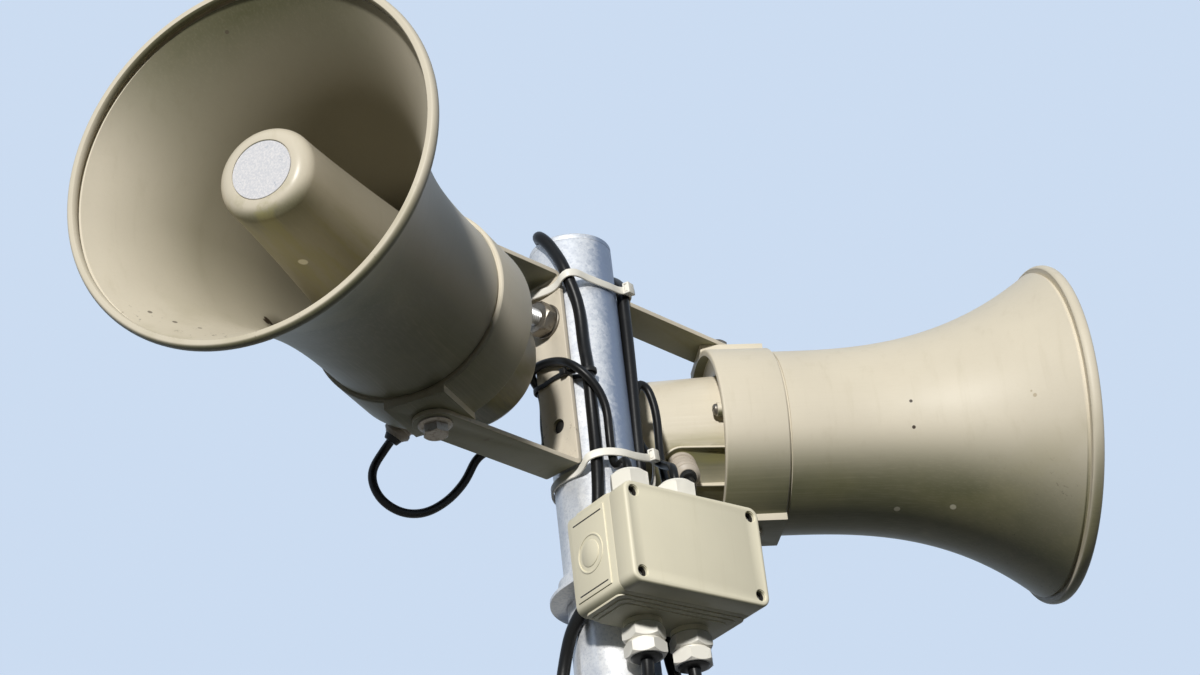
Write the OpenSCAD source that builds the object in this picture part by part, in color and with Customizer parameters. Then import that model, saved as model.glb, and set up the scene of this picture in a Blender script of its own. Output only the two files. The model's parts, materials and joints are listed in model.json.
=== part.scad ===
// Mast with two re-entrant loudspeaker horns, a junction box and the leads between them.
// +Z is up. The origin is on the mast's axis, on the underside of the base plate.
// The left yoke points along -X and the right yoke along +X; the front is -Y.

/* [Mast] */
// Height of the horns' centre line above the ground
axis_h = 2400; // [1200:50:4000]
// Length of mast above the horns' centre line
mast_above = 86; // [80:1:200]
// Outer diameter of the mast tube
mast_d = 48.3; // [42:0.1:60]
// Wall of the mast tube
mast_wall = 3.2; // [2:0.1:5]
// Thickness of the cap on the tube's end
cap_t = 4; // [2:0.5:10]
// Depth of the cap's plug inside the tube
cap_plug = 15; // [8:1:40]

/* [Base] */
// Side of the square base plate
base_w = 200; // [160:5:300]
// Thickness of the base plate
base_t = 12; // [8:1:25]
// Distance between the base bolt holes
base_pitch = 150; // [110:5:250]
// Diameter of the base bolt holes
base_hole_d = 14; // [10:1:22]
// Height of the gussets
gusset_h = 90; // [40:5:200]
// Reach of the gussets from the mast's axis
gusset_reach = 88; // [50:1:100]
// Thickness of the gussets
gusset_t = 6; // [4:1:12]

/* [Yokes] */
// Gap between a yoke's two arms
yoke_gap = 120; // [118:1:160]
// Distance from the yoke's strap to the horn's pivot
pivot_reach = 100; // [85:1:160]
// Width of the yoke strip
strip_w = 25; // [20:1:40]
// Thickness of the yoke strip
strip_t = 3; // [2:0.5:5]
// Inner radius of the yoke's bends
bend_r = 2; // [1:0.5:6]
// Distance of the strap's two holes from the centre line
strap_hole_z = 34; // [20:1:45]
// Diameter of the pivot bolts and of the strap's free hole
bolt_d = 8; // [6:1:10]
// Diameter of the bolt through the mast
through_d = 10; // [8:1:12]
// Extra diameter of the holes that the bolts pass through
bolt_play = 0.6; // [0.4:0.1:1.5]
// Length of bare thread beyond the through bolt's nut
thread_beyond = 15; // [5:1:25]

/* [Horns] */
// Turn of the left horn towards the front
left_pan = 20; // [-20:1:50]
// Turn of the right horn towards the front
right_pan = 39; // [-30:1:40]
// Radius of the bell's straight part
bell_r = 56; // [50:0.5:56]
// Radius of the bell at its mouth
mouth_r = 103; // [85:1:130]
// Distance from the pivot to the bell's mouth
mouth_at = 197; // [150:1:260]
// Distance from the pivot to the start of the flare
flare_at = 30; // [28:1:60]
// Power that shapes the flare
flare_power = 2.75; // [1.8:0.05:4]
// Wall of the bell
bell_wall = 2.4; // [1.5:0.1:4]
// Width of the bead round the mouth
rim_w = 7; // [5:0.5:12]
// Depth of the bead round the mouth
rim_t = 5; // [4:0.5:8]

/* [Collar] */
// Distance from the pivot to the collar's rear edge
collar_rear = 14; // [12:0.5:25]
// Distance from the pivot to the collar's front edge
collar_front = 25; // [15:1:28]
// Wall of the collar's skirt
collar_wall = 2.2; // [1.5:0.1:4]
// Depth of the recess in the collar's rear face
recess = 6; // [3:0.5:8]
// Thickness of the collar's rear plate
plate_t = 4; // [2:0.5:5]
// Width of the flat pads under the yoke's arms
pad_w = 36; // [26:1:50]
// Radius of the ring of screws in the recess
screw_ring_r = 47; // [46:0.5:50]

/* [Bullet] */
// Distance from the pivot to the bullet's front face
bullet_front = 187; // [120:1:190]
// Distance from the pivot to the bullet's open rear edge
bullet_rear = 46; // [40:1:70]
// Radius of the bullet just behind its rounded front
bullet_r = 26.5; // [24:0.5:32]
// Radius of the bullet's rear edge
bullet_rear_r = 37; // [33:0.5:42]
// Radius of the rounding at the bullet's front
bullet_round = 8.5; // [4:0.5:12]
// Wall of the bullet
bullet_wall = 2.4; // [1.5:0.1:4]
// Radius of the flat disc on the bullet's front
disc_r = 16.5; // [8:0.5:18]
// Thickness of the disc
disc_t = 1; // [0.5:0.1:2]
// Radius of the throat tube's bore at the driver
throat_r = 8; // [5:0.5:10]
// Radius of the throat tube's bore at its front end
throat_front_r = 14; // [8:0.5:15]
// Wall of the throat tube
throat_wall = 2; // [1.5:0.1:3]
// Gap between the throat tube's front end and the inside of the bullet
turn_gap = 24; // [12:1:40]

/* [Driver] */
// Radius of the driver can at the collar
can_r = 42; // [38:0.5:43]
// Radius of the driver can at its rear
can_rear_r = 39; // [34:0.5:42]
// Length of the driver can
can_len = 58; // [50:1:62]
// Rounding of the can's rear edge
can_round = 7; // [3:0.5:10]
// Distance from the horn's axis to the flat pocket in the can
pocket_at = 38; // [34:0.5:38]
// Width of the flat pocket
pocket_w = 22; // [20:1:40]
// Distance of the gland from the pivot, along the horn's axis
gland_back = 37; // [30:0.5:42]
// Radius of the gland's flange
gland_r = 9; // [6:0.5:10]
// Length of the gland
gland_len = 25; // [22:1:36]
// Diameter of the horns' leads
lead_d = 5; // [4:0.5:6]

/* [Junction box] */
// Width of the junction box
box_w = 93; // [80:1:140]
// Height of the junction box
box_h = 60; // [50:1:100]
// Depth of the box without its lid
box_body_d = 39; // [30:1:60]
// Depth of the lid
lid_d = 14; // [8:1:25]
// Distance from the horns' centre line down to the box's centre
box_drop = 134; // [130:1:200]
// Turn of the box round the mast
box_turn = -10.5; // [-20:0.5:20]
// Shift of the box to the right of the mast
box_shift = 2.5; // [-10:0.5:10]
// Gap between the mast and the box's back
box_gap = 1; // [0.5:0.5:5]
// Radius of the box's corners
box_round = 6; // [2:0.5:10]
// Wall of the box
box_wall = 3; // [2:0.5:5]
// Distance of the lid screws from the box's edges
screw_inset = 6.2; // [5:0.1:9]
// Radius of the lid screws' recesses
screw_hole_r = 3.4; // [2.5:0.1:4]
// Height of each step of the raised boss under the glands
step_h = 0.6; // [0.4:0.1:2]
// Width of each step of the raised boss
step_w = 3.5; // [2:0.5:5]
// Distance of the bracket's plate below the box's centre
bracket_drop = 5; // [-10:1:15]
// Thickness of the bracket
bracket_t = 2; // [1.5:0.5:4]
// Radius of the bracket's round end
bracket_r = 41.5; // [36:0.5:50]
// Height of the bracket's collar round the mast
bracket_collar_h = 13; // [8:1:20]

/* [Glands and ties] */
// Width across the flats of the top glands
top_gland_af = 22; // [16:1:26]
// Height of the top glands
top_gland_h = 24; // [15:1:30]
// Width across the flats of the bottom glands
low_gland_af = 21; // [14:1:24]
// Height of the bottom glands
low_gland_h = 16; // [12:1:28]
// Width of the white cable ties
tie_w = 4.8; // [3:0.1:9]
// Thickness of the cable ties
tie_t = 1.4; // [1:0.1:2.5]
// Diameter of the main cable
main_d = 7.2; // [5:0.2:8]

/* [Hidden] */
$fn = 64;

beige = [0.80, 0.77, 0.67];
box_grey = [0.82, 0.80, 0.72];
white = [0.93, 0.93, 0.90];
zinc = [0.66, 0.68, 0.71];
black = [0.07, 0.07, 0.08];

mast_r = mast_d / 2;
strap_x = mast_r + strip_t;
pivot_x = strap_x + pivot_reach;
arm_z = yoke_gap / 2;
arm_top = arm_z + strip_t;
head_h = bolt_d * 0.65;
head_af = bolt_d * 1.625;
nut_h = through_d * 0.8;
nut_af = through_d * 1.8;
washer_r = through_d * 1.05;
washer_t = 1.6;
hole_d = bolt_d + bolt_play;
through_hole_d = through_d + bolt_play;

// Revolved outlines are lists of [radius, distance in front of the pivot].
plate_back = recess - collar_rear;
bell_back = plate_back + plate_t;
bowl_floor = bell_back + 3;
bowl_len = 22;
throat_out_r = throat_r + throat_wall;
throat_end = bullet_front - bullet_wall - turn_gap;
side_at = bullet_front - bullet_round;

// Radius of the bell's outside at a distance a in front of the pivot.
function flare(a) =
    a <= flare_at ? bell_r
    : bell_r + (mouth_r - bell_r) * pow((a - flare_at) / (mouth_at - flare_at), flare_power);
function flare_slope(a) = flare(a + 0.5) - flare(a - 0.5);
function bell_inside(a) = flare(a) - bell_wall * sqrt(1 + pow(flare_slope(a), 2));
function bullet_outside(a) =
    bullet_r + (bullet_rear_r - bullet_r) * pow((side_at - a) / (side_at - bullet_rear), 1.3);
function throat_bore(a) =
    throat_r + (throat_front_r - throat_r) * (a - plate_back) / (throat_end - plate_back);

flare_steps = 18;
flare_stops = [for (i = [0 : flare_steps]) flare_at + (mouth_at - flare_at) * i / flare_steps];
bell_outline = concat(
    [[throat_out_r + 0.1, bell_back], [bell_r, bell_back]],
    [for (a = flare_stops) [flare(a), a]],
    [for (i = [flare_steps : -1 : 0]) [bell_inside(flare_stops[i]), flare_stops[i]]],
    [for (t = [90 : -15 : 0])
        [throat_out_r + 0.1 + (bell_r - bell_wall - throat_out_r - 0.1) * sin(t),
         bowl_floor + bowl_len * (1 - cos(t))]]
);
rim_back = mouth_at - 1.5;
rim_out = mouth_r + 1.5;
rim_in = rim_out - rim_t;
rim_outline = concat(
    [for (t = [0 : 15 : 180]) [rim_out - rim_w * 0.3 + rim_w * 0.3 * sin(t),
                               rim_back + rim_w / 2 - rim_w / 2 * cos(t)]],
    [for (t = [180 : -30 : 0]) [rim_in + rim_w * 0.15 - rim_w * 0.15 * sin(t),
                                rim_back + rim_w / 2 - rim_w / 2 * cos(t)]]
);
side_steps = 8;
side_stops = [for (i = [0 : side_steps]) side_at + (bullet_rear - side_at) * i / side_steps];
bullet_shell = concat(
    [[0, bullet_front]],
    [for (t = [90 : -15 : 0]) [bullet_r - bullet_round + bullet_round * cos(t),
                               side_at + bullet_round * sin(t)]],
    [for (i = [1 : side_steps]) [bullet_outside(side_stops[i]), side_stops[i]]],
    [for (i = [side_steps : -1 : 0]) [bullet_outside(side_stops[i]) - bullet_wall, side_stops[i]]],
    [[bullet_r - bullet_round, bullet_front - bullet_wall], [9, bullet_front - bullet_wall],
     [0, bullet_front - bullet_wall - 8]]
);
throat_outline = [
    [throat_bore(plate_back), plate_back], [throat_out_r, plate_back],
    [throat_out_r, bowl_floor + 1], [throat_bore(throat_end) + throat_wall, throat_end],
    [throat_bore(throat_end), throat_end]
];
can_rear_at = plate_back - can_len;
can_outline = concat(
    [[0, plate_back], [can_r, plate_back]],
    [for (t = [0 : 15 : 90]) [can_rear_r - can_round + can_round * cos(t),
                              can_rear_at + can_round - can_round * sin(t)]],
    [[0, can_rear_at]]
);

// Places of the screws round the collar's recess.
screw_turns = [90, 210, 330];

// Places on the box: the glands across it and out from its back, and the bracket's tabs.
top_gland_x = [-14.5, 18.5];
top_gland_y = 19;
low_gland_x = [-11.5, 21];
low_gland_y = 12;
tab_x = 32;
tab_screw_z = 12;
step_count = 3;
boss_top = box_h / 2 + step_count * step_h;
boss_ring_h = 1;

// Where the cables meet their glands. Heights are measured from the horns' centre line.
function box_point(x, y, z) =
    [cos(box_turn) * (x + box_shift) + sin(box_turn) * (mast_r + box_gap + y),
     sin(box_turn) * (x + box_shift) - cos(box_turn) * (mast_r + box_gap + y), z - box_drop];
function dome_end(i, up = 0) = box_point(top_gland_x[i], top_gland_y, boss_top + top_gland_h + up);
function low_end(i, down = 0) =
    box_point(low_gland_x[i], low_gland_y, -boss_top - boss_ring_h - low_gland_h - down);
function horn_end(side, out = 0.2) =
    let (pan = side < 0 ? 180 + left_pan : -right_pan, d = (pocket_at + gland_len + out) * sqrt(0.5))
    [side * pivot_x - gland_back * cos(pan) + d * sin(pan),
     -gland_back * sin(pan) - d * cos(pan), -d];

// A route beside the mast is a list of [angle round the mast, distance off its skin, height].
skin_gap = 0.2;
function beside(list, thick) =
    [for (p = list) let (r = mast_r + thick / 2 + skin_gap + p[1]) [r * cos(p[0]), r * sin(p[0]), p[2]]];

cap_z = mast_above + cap_t + main_d / 2 + skin_gap;
main_route = concat(
    [low_end(0), low_end(0, 10)],
    beside([
        [236, 12, -218], [210, 13, -231], [180, 11, -230], [154, 8, -214], [143, 5, -191],
        [150, 1.5, -172], [168, 0.5, -159], [190, 0.5, -149], [211, 0.3, -139], [218, 0, -126],
        [218, 0, -98], [222, 0, -80], [226, 0, -19], [226, 1.6, -10], [226, 1.6, 0],
        [225, 0, 10], [222, 0.2, 44], [216, 2, 56], [211, 2.2, 66], [202, 0.4, 77], [195, 0.2, 84],
        [187, 0.3, 89]
    ], main_d),
    [[-24.6, 2, 93.4], [-19, 5, cap_z], [-10, 8, cap_z], [2, 11, cap_z], [14, 12.5, cap_z],
     [22.6, 14, 93]],
    beside([
        [27, 0.6, 87], [8, 0.7, 83], [-12, 0.7, 77], [-28, 0.6, 70], [-42, 0.1, 61], [-44, 0, 48],
        [-44, 0, -150], [-43, 3, -182], [-47, 9, -204], [-56, 17, -213]
    ], main_d),
    [low_end(1, 10), low_end(1)]
);
left_route = concat(
    [horn_end(-1), horn_end(-1, 7)],
    [[-115, 64, -64], [-111, 63, -77], [-101, 58, -85], [-88, 54, -84], [-75, 48, -76],
     [-64, 41, -62], [-59, 33, -48], [-52, 24, -45], [-40, 20, -48], [-30, 18, -48]],
    beside([
        [146, 0.6, -41], [146, 0.1, -28], [146, 0.1, -3], [150, 5.9, 6], [162, 5.3, 7],
        [178, 3.8, 6.5], [194, 4.2, 4]
    ], lead_d),
    [[-31, -17, -2], [-29, -22, -7], [-26, -25, -12], [-21, -27, -19]],
    beside([[240, 5, -31], [241, 3.6, -42], [242, 2.6, -60], [243, 4.5, -68]], lead_d),
    [dome_end(0, 8), dome_end(0)]
);
right_route = concat(
    [horn_end(1), horn_end(1, 7)],
    [[61, -19, -62], [50, -23, -75], [39, -25, -78], [34, -24.5, -70], [34, -23, -60],
     [35.5, -20.5, -48], [36, -18.5, -3], [34.6, -17.4, 3], [31, -16.2, 5.6], [27.6, -15.5, 3],
     [26, -15.4, -3], [26, -15.4, -38], [27.5, -23, -50], [26, -30, -56], [19, -40, -63]],
    [dome_end(1, 8), dome_end(1)]
);

// Middle lines of the cable ties, given in the same way.
upper_tie_route = beside([
    [155, 6, 54], [205, 6, 54], [210, 8.5, 55.6], [216.5, 9.9, 57], [221.5, 8.9, 57.4],
    [240, 2.4, 57], [262, 0.3, 56.2], [276, 0.3, 56.4], [296, 1.8, 57.4], [309.7, 6.6, 59],
    [315, 7.7, 59], [320, 7, 58], [335, 6, 54.6], [385, 6, 54], [420, 0.6, 54], [435, 0.3, 54],
    [450, 0.3, 54], [465, 0.3, 54], [480, 0.6, 54]
], tie_t);
lower_tie_route = beside([
    [131, 0.4, -66], [149, 0.4, -66], [167, 0.4, -66], [185, 0.4, -66], [198, 0.8, -65.8],
    [208, 3.6, -64.5], [215, 7.2, -61.5], [224, 8, -60], [234, 8.4, -59.4], [248, 8.8, -59.6],
    [268, 7, -58.8], [286, 7, -56.5], [300, 8.6, -54], [316, 8.6, -57], [323, 8.6, -61],
    [330, 7.4, -65.8], [344, 4.4, -67], [5, 0.8, -67], [23, 0.4, -67], [41, 0.4, -67],
    [59, 0.4, -67], [77, 0.4, -67], [95, 0.4, -66.6], [113, 0.4, -66.3]
], tie_t);
black_tie_route = [
    [-18.8, 16.6, -4], [-19.9, 18.5, -4], [-22.4, 18.6, -4], [-25.1, 17.2, -4], [-28.2, 13.2, -5],
    [-28, 7, -5], [-28, 0, -4], [-28, -7, -4], [-28.2, -13.3, -5], [-25.2, -21.5, -6],
    [-23.5, -24.6, -6], [-20.4, -25.9, -6], [-17.5, -24.7, -6], [-16.2, -21.8, -6],
    [-17.5, -18, -6], [-20, -15.6, -6], [-22.4, -12.4, -6], [-23.2, -9.3, -6]
];

// Sweeps a round cord along a route, with one ring at each point.
function unit(v) = v / norm(v);
function heading(p, i) = unit(p[min(i + 1, len(p) - 1)] - p[max(i - 1, 0)]);
function side_list(p, side, i = 0) =
    i == len(p) ? []
    : let (t = heading(p, i), s = unit(side - (side * t) * t)) concat([s], side_list(p, s, i + 1));

module cord(route, d, sides = 8) {
    across = side_list(route, [0.3, 0.9, 0.1]);
    rings = len(route);
    points = [
        for (i = [0 : rings - 1], j = [0 : sides - 1])
            route[i] + d / 2 * (cos(360 * j / sides) * across[i]
                + sin(360 * j / sides) * cross(heading(route, i), across[i]))
    ];
    walls = [
        for (i = [0 : rings - 2], j = [0 : sides - 1])
            [i * sides + j, (i + 1) * sides + j,
             (i + 1) * sides + (j + 1) % sides, i * sides + (j + 1) % sides]
    ];
    start = [for (j = [0 : sides - 1]) j];
    finish = [for (j = [sides - 1 : -1 : 0]) (rings - 1) * sides + j];
    translate([0, 0, axis_h]) polyhedron(concat(points), concat([start, finish], walls));
}

// Sweeps a flat band along a route, with its width standing up.
module ribbon(route, w, t, closed) {
    rings = len(route);
    ahead = [for (i = [0 : rings - 1])
        closed ? unit(route[(i + 1) % rings] - route[(i + rings - 1) % rings]) : heading(route, i)];
    out = [for (h = ahead) unit([h[1], -h[0], 0])];
    points = [for (i = [0 : rings - 1], c = [[1, -1], [1, 1], [-1, 1], [-1, -1]])
        route[i] + t / 2 * c[0] * out[i] + w / 2 * c[1] * cross(out[i], ahead[i])];
    spans = closed ? rings : rings - 1;
    walls = [for (i = [0 : spans - 1], j = [0 : 3])
        [i * 4 + j, i * 4 + (j + 1) % 4,
         (i + 1) % rings * 4 + (j + 1) % 4, (i + 1) % rings * 4 + j]];
    ends = closed ? [] : [[3, 2, 1, 0], [for (j = [0 : 3]) (rings - 1) * 4 + j]];
    translate([0, 0, axis_h]) polyhedron(points, concat(walls, ends));
}

// Turns an outline round the horn's axis, which is laid along +X.
module turned(outline) {
    rotate([0, 90, 0]) rotate_extrude() polygon(outline);
}

// A hexagon prism standing on the plane, measured across its flats.
module hexagon(af, h) {
    cylinder(r = af / 2 / cos(30), h = h, $fn = 6);
}

// Places a horn's pieces: side is -1 for the left horn and 1 for the right one.
module at_horn(side) {
    pan = side < 0 ? 180 + left_pan : -right_pan;
    translate([side * pivot_x, 0, axis_h]) rotate([0, 0, pan]) children();
}

// Places what sits on the can's pocket, with +Z pointing out of the pocket.
module at_pocket() {
    translate([-gland_back, 0, 0]) rotate([135, 0, 0]) translate([0, 0, pocket_at]) children();
}

// Places the junction box's pieces: the box's back is y = 0 and its front faces -Y.
module at_box() {
    translate([0, 0, axis_h - box_drop]) rotate([0, 0, box_turn])
        translate([box_shift, -mast_r - box_gap, 0]) children();
}

// A rectangle with rounded corners.
module rounded(w, h, r) {
    square([w - 2 * r, h], center = true);
    square([w, h - 2 * r], center = true);
    for (x = [-1, 1], y = [-1, 1]) translate([x * (w / 2 - r), y * (h / 2 - r)]) circle(r);
}

// A plate with rounded corners in the XZ plane, from y = 0 towards -Y.
module rounded_slab(w, h, d, r) {
    rotate([90, 0, 0]) linear_extrude(d) rounded(w, h, r);
}

module base_plate() {
    color(zinc) difference() {
        translate([-base_w / 2, -base_w / 2, 0]) cube([base_w, base_w, base_t]);
        for (x = [-1, 1], y = [-1, 1])
            translate([x * base_pitch / 2, y * base_pitch / 2, -1])
                cylinder(d = base_hole_d, h = base_t + 2);
    }
}

module base_gussets() {
    toe = 10;
    color(zinc) difference() {
        for (turn = [0 : 90 : 270]) rotate([90, 0, turn])
            translate([0, base_t, -gusset_t / 2]) linear_extrude(gusset_t)
                polygon([[mast_r - 2, 0], [gusset_reach, 0], [gusset_reach, toe],
                         [mast_r + toe, gusset_h], [mast_r - 2, gusset_h]]);
        cylinder(d = mast_d, h = base_t + gusset_h + 1);
    }
}

module mast_tube() {
    color(zinc) difference() {
        translate([0, 0, base_t]) cylinder(d = mast_d, h = axis_h + mast_above - base_t);
        translate([0, 0, base_t - 1])
            cylinder(d = mast_d - 2 * mast_wall, h = axis_h + mast_above - base_t + 2);
        for (z = [-1, 1]) translate([-mast_d, 0, axis_h + z * strap_hole_z])
            rotate([0, 90, 0]) cylinder(d = z < 0 ? hole_d : through_hole_d, h = 2 * mast_d);
    }
}

module tube_cap() {
    crown = 1.5;
    plug_r = mast_r - mast_wall - 0.1;
    color(zinc) translate([0, 0, axis_h + mast_above]) rotate_extrude() polygon([
        [0, -cap_plug], [plug_r, -cap_plug], [plug_r, 0], [mast_r, 0], [mast_r, cap_t - crown],
        [mast_r - crown * 0.3, cap_t - crown * 0.3], [mast_r - crown, cap_t], [0, cap_t]
    ]);
}

// A yoke on the +X side: a bent strip with a strap against the mast and two arms.
module yoke() {
    bend_out = bend_r + strip_t;
    reach = strip_t + pivot_reach;
    tip = reach + strip_w / 2;
    difference() {
        intersection() {
            rotate([90, 0, 0]) linear_extrude(strip_w, center = true) difference() {
                union() {
                    translate([bend_out, -arm_top]) square([tip - bend_out, 2 * arm_top]);
                    translate([0, bend_out - arm_top]) square([tip, 2 * (arm_top - bend_out)]);
                    for (z = [-1, 1]) translate([bend_out, z * (arm_top - bend_out)])
                        circle(bend_out);
                }
                translate([bend_out, -arm_z]) square([tip, yoke_gap]);
                translate([strip_t, bend_out - arm_top]) square([tip, 2 * (arm_top - bend_out)]);
                for (z = [-1, 1]) translate([bend_out, z * (arm_top - bend_out)]) circle(bend_r);
            }
            union() {
                translate([-1, -strip_w, -arm_top - 1]) cube([reach + 1, 2 * strip_w, 2 * arm_top + 2]);
                translate([reach, 0, -arm_top - 1]) cylinder(d = strip_w, h = 2 * arm_top + 2);
            }
        }
        translate([reach, 0, -arm_top - 1]) cylinder(d = hole_d, h = 2 * arm_top + 2);
        for (z = [-1, 1]) translate([-1, 0, z * strap_hole_z]) rotate([0, 90, 0])
            cylinder(d = z < 0 ? hole_d : through_hole_d, h = strip_t + 2);
    }
}

module left_yoke() {
    color(beige) translate([-mast_r, 0, axis_h]) rotate([0, 0, 180]) yoke();
}

module right_yoke() {
    color(beige) translate([mast_r, 0, axis_h]) yoke();
}

module through_bolt() {
    back = strap_x + washer_t;
    tail = strap_x + washer_t + nut_h + thread_beyond;
    color(zinc) translate([0, 0, axis_h + strap_hole_z]) rotate([0, 90, 0]) {
        translate([0, 0, -tail]) cylinder(d = through_d, h = tail + back);
        translate([0, 0, back]) hexagon(nut_af, through_d * 0.65);
        translate([0, 0, strap_x]) cylinder(r = washer_r, h = washer_t);
    }
}

module through_nut() {
    color(zinc) translate([-strap_x, 0, axis_h + strap_hole_z]) rotate([0, -90, 0]) difference() {
        union() {
            cylinder(r = washer_r, h = washer_t);
            translate([0, 0, washer_t]) hexagon(nut_af, nut_h);
        }
        translate([0, 0, -1]) cylinder(d = through_d, h = washer_t + nut_h + 2);
    }
}

module junction_box() {
    post_r = screw_inset - 1;
    panel_t = 0.7;
    panel_d = box_body_d - 9;
    slot_z = box_h / 2 - 9;
    color(box_grey) at_box() {
        difference() {
            rounded_slab(box_w, box_h, box_body_d, box_round);
            translate([0, -box_wall, 0])
                rounded_slab(box_w - 2 * box_wall, box_h - 2 * box_wall, box_body_d,
                             box_round - box_wall / 2);
        }
        for (x = [-1, 1], z = [-1, 1])
            translate([x * (box_w / 2 - screw_inset), -box_wall + 0.5, z * (box_h / 2 - screw_inset)])
                rotate([90, 0, 0]) cylinder(r = post_r, h = box_body_d - box_wall - 0.5);
        for (s = [-1, 1]) translate([s * box_w / 2, -box_body_d / 2 + 1, 0]) difference() {
            cube([2 * panel_t, panel_d, box_h - 2 * box_round], center = true);
            for (z = [-slot_z, slot_z]) translate([0, 0, z])
                cube([3 * panel_t, panel_d - 4, 1.2], center = true);
            for (r = [8, 11]) rotate([0, 90, 0]) difference() {
                cylinder(r = r, h = 3 * panel_t, center = true);
                cylinder(r = r - 1, h = 4 * panel_t, center = true);
            }
        }
        for (z = [0, 180]) rotate([0, z, 0]) boss(z == 0 ? top_gland_x : -low_gland_x,
                                                  z == 0 ? top_gland_y : low_gland_y);
    }
}

// The stepped boss on the box's top or underside, with a ring round each gland.
module boss(gland_x, gland_y) {
    back = 1.5;
    for (i = [1 : step_count]) {
        w = box_w - 2 * i * step_w;
        d = box_body_d - i * step_w - back;
        translate([0, -back - d / 2, box_h / 2 + (i - 1) * step_h - 0.5])
            linear_extrude(step_h + 0.5) rounded(w, d, box_round - 1.5);
    }
    for (x = gland_x) translate([x, -gland_y, boss_top - 0.5])
        cylinder(r = low_gland_af / 2 + 0.2, h = boss_ring_h + 0.5);
}

module box_lid() {
    color(box_grey) at_box() translate([0, -box_body_d, 0]) difference() {
        rounded_slab(box_w, box_h, lid_d, box_round);
        for (x = [-1, 1], z = [-1, 1])
            translate([x * (box_w / 2 - screw_inset), 0.5, z * (box_h / 2 - screw_inset)])
                rotate([90, 0, 0]) cylinder(r = screw_hole_r, h = lid_d + 1);
    }
}

module lid_screws() {
    sunk = 3;
    color(zinc) at_box() translate([0, -box_body_d, 0])
        for (x = [-1, 1], z = [-1, 1])
            translate([x * (box_w / 2 - screw_inset), 0, z * (box_h / 2 - screw_inset)])
                rotate([90, 0, 0]) difference() {
                    cylinder(r = screw_hole_r - 0.2, h = lid_d - sunk);
                    translate([0, 0, lid_d - sunk]) cube([0.9, 4, 1.6], center = true);
                    translate([0, 0, lid_d - sunk]) cube([4, 0.9, 1.6], center = true);
                }
}

module top_glands() {
    foot = 6;
    dome_r = top_gland_af / 2 - 0.4;
    dome_h = top_gland_h - boss_ring_h - foot;
    dome_round = 6;
    color(white) at_box()
        for (x = top_gland_x) translate([x, -top_gland_y, boss_top + boss_ring_h]) {
            hexagon(top_gland_af, foot);
            translate([0, 0, foot]) rotate_extrude() polygon(concat(
                [[0, 0], [dome_r, 0], [dome_r, dome_h - dome_round]],
                [for (t = [15 : 15 : 90]) [dome_r - dome_round + dome_round * cos(t),
                                           dome_h - dome_round + dome_round * sin(t)]],
                [[0, dome_h]]
            ));
        }
}

module bottom_glands() {
    foot = low_gland_h / 2 - 0.8;
    neck_h = 1.6;
    color(white) at_box()
        for (x = low_gland_x) translate([x, -low_gland_y, -boss_top - boss_ring_h]) rotate([180, 0, 0]) {
            hexagon(low_gland_af, foot);
            translate([0, 0, foot]) cylinder(d = low_gland_af - 0.6, h = neck_h);
            translate([0, 0, foot + neck_h]) hexagon(low_gland_af, low_gland_h - foot - neck_h);
        }
}

module gland_seals() {
    seal_h = 3;
    top_r = low_gland_af / 2 - 1.5;
    bore_r = main_d / 2 + 0.1;
    color(black) at_box()
        for (x = low_gland_x)
            translate([x, -low_gland_y, -boss_top - boss_ring_h - low_gland_h]) rotate([180, 0, 0])
                rotate_extrude() polygon([[bore_r, 0], [top_r, 0], [top_r, 1], [top_r - 2, seal_h],
                                          [bore_r, seal_h]]);
}

// The plate that carries the box: a tongue round the mast with an upright collar and two tabs.
module box_bracket() {
    wall = 3.5;
    tab_w = 10;
    tab_h = 19;
    center_y = mast_r + box_gap - 10;
    slot_r = main_d / 2 + 1;
    slot_at = mast_r + main_d / 2 + 0.5;
    color(zinc) difference() {
        at_box() translate([0, 0, -bracket_drop]) {
            linear_extrude(bracket_t) {
                intersection() {
                    translate([0, center_y]) circle(bracket_r);
                    translate([-bracket_r, center_y]) square([2 * bracket_r, bracket_r]);
                }
                translate([-bracket_r, 0]) square([2 * bracket_r, center_y + 0.1]);
            }
            intersection() {
                translate([-box_shift, mast_r + box_gap, 0])
                    cylinder(r = mast_r + wall, h = bracket_t + bracket_collar_h);
                translate([-2 * mast_r, 0, 0]) cube([4 * mast_r, 4 * mast_r, 2 * bracket_collar_h]);
            }
            for (s = [-1, 1]) translate([s * tab_x - tab_w / 2, 0, 0]) difference() {
                cube([tab_w, bracket_t, tab_h]);
                translate([tab_w / 2, -1, tab_screw_z]) rotate([-90, 0, 0])
                    cylinder(d = 4.4, h = bracket_t + 2);
            }
        }
        translate([0, 0, axis_h - box_drop - 2 * bracket_collar_h]) {
            cylinder(r = mast_r + 0.1, h = 4 * bracket_collar_h);
            for (turn = [205, 211, 217, -44]) rotate([0, 0, turn]) translate([slot_at, 0, 0])
                cylinder(r = slot_r, h = 4 * bracket_collar_h);
        }
    }
}

module bracket_screws() {
    color(zinc) at_box() translate([0, 0, -bracket_drop]) {
        for (s = [-1, 1]) translate([s * tab_x, 0, tab_screw_z]) rotate([-90, 0, 0]) {
            cylinder(d = 4, h = bracket_t);
            translate([0, 0, bracket_t]) cylinder(r = 3.5, h = 2.5);
        }
        for (turn = [-35, 35])
            translate([-box_shift, mast_r + box_gap, bracket_t + bracket_collar_h / 2])
                rotate([0, 0, turn]) rotate([-90, 0, 0]) translate([0, 0, mast_r + 3.6])
                    hexagon(7, 3);
    }
}

// The ratchet block of a cable tie, with the cut end of its tail.
module tie_head(w, t, tail) {
    cube([w + 2, 4.4, w + 2.4], center = true);
    translate([w / 2 + tail / 2, 0, 0]) cube([tail + 2, t, w - 0.8], center = true);
}

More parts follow.
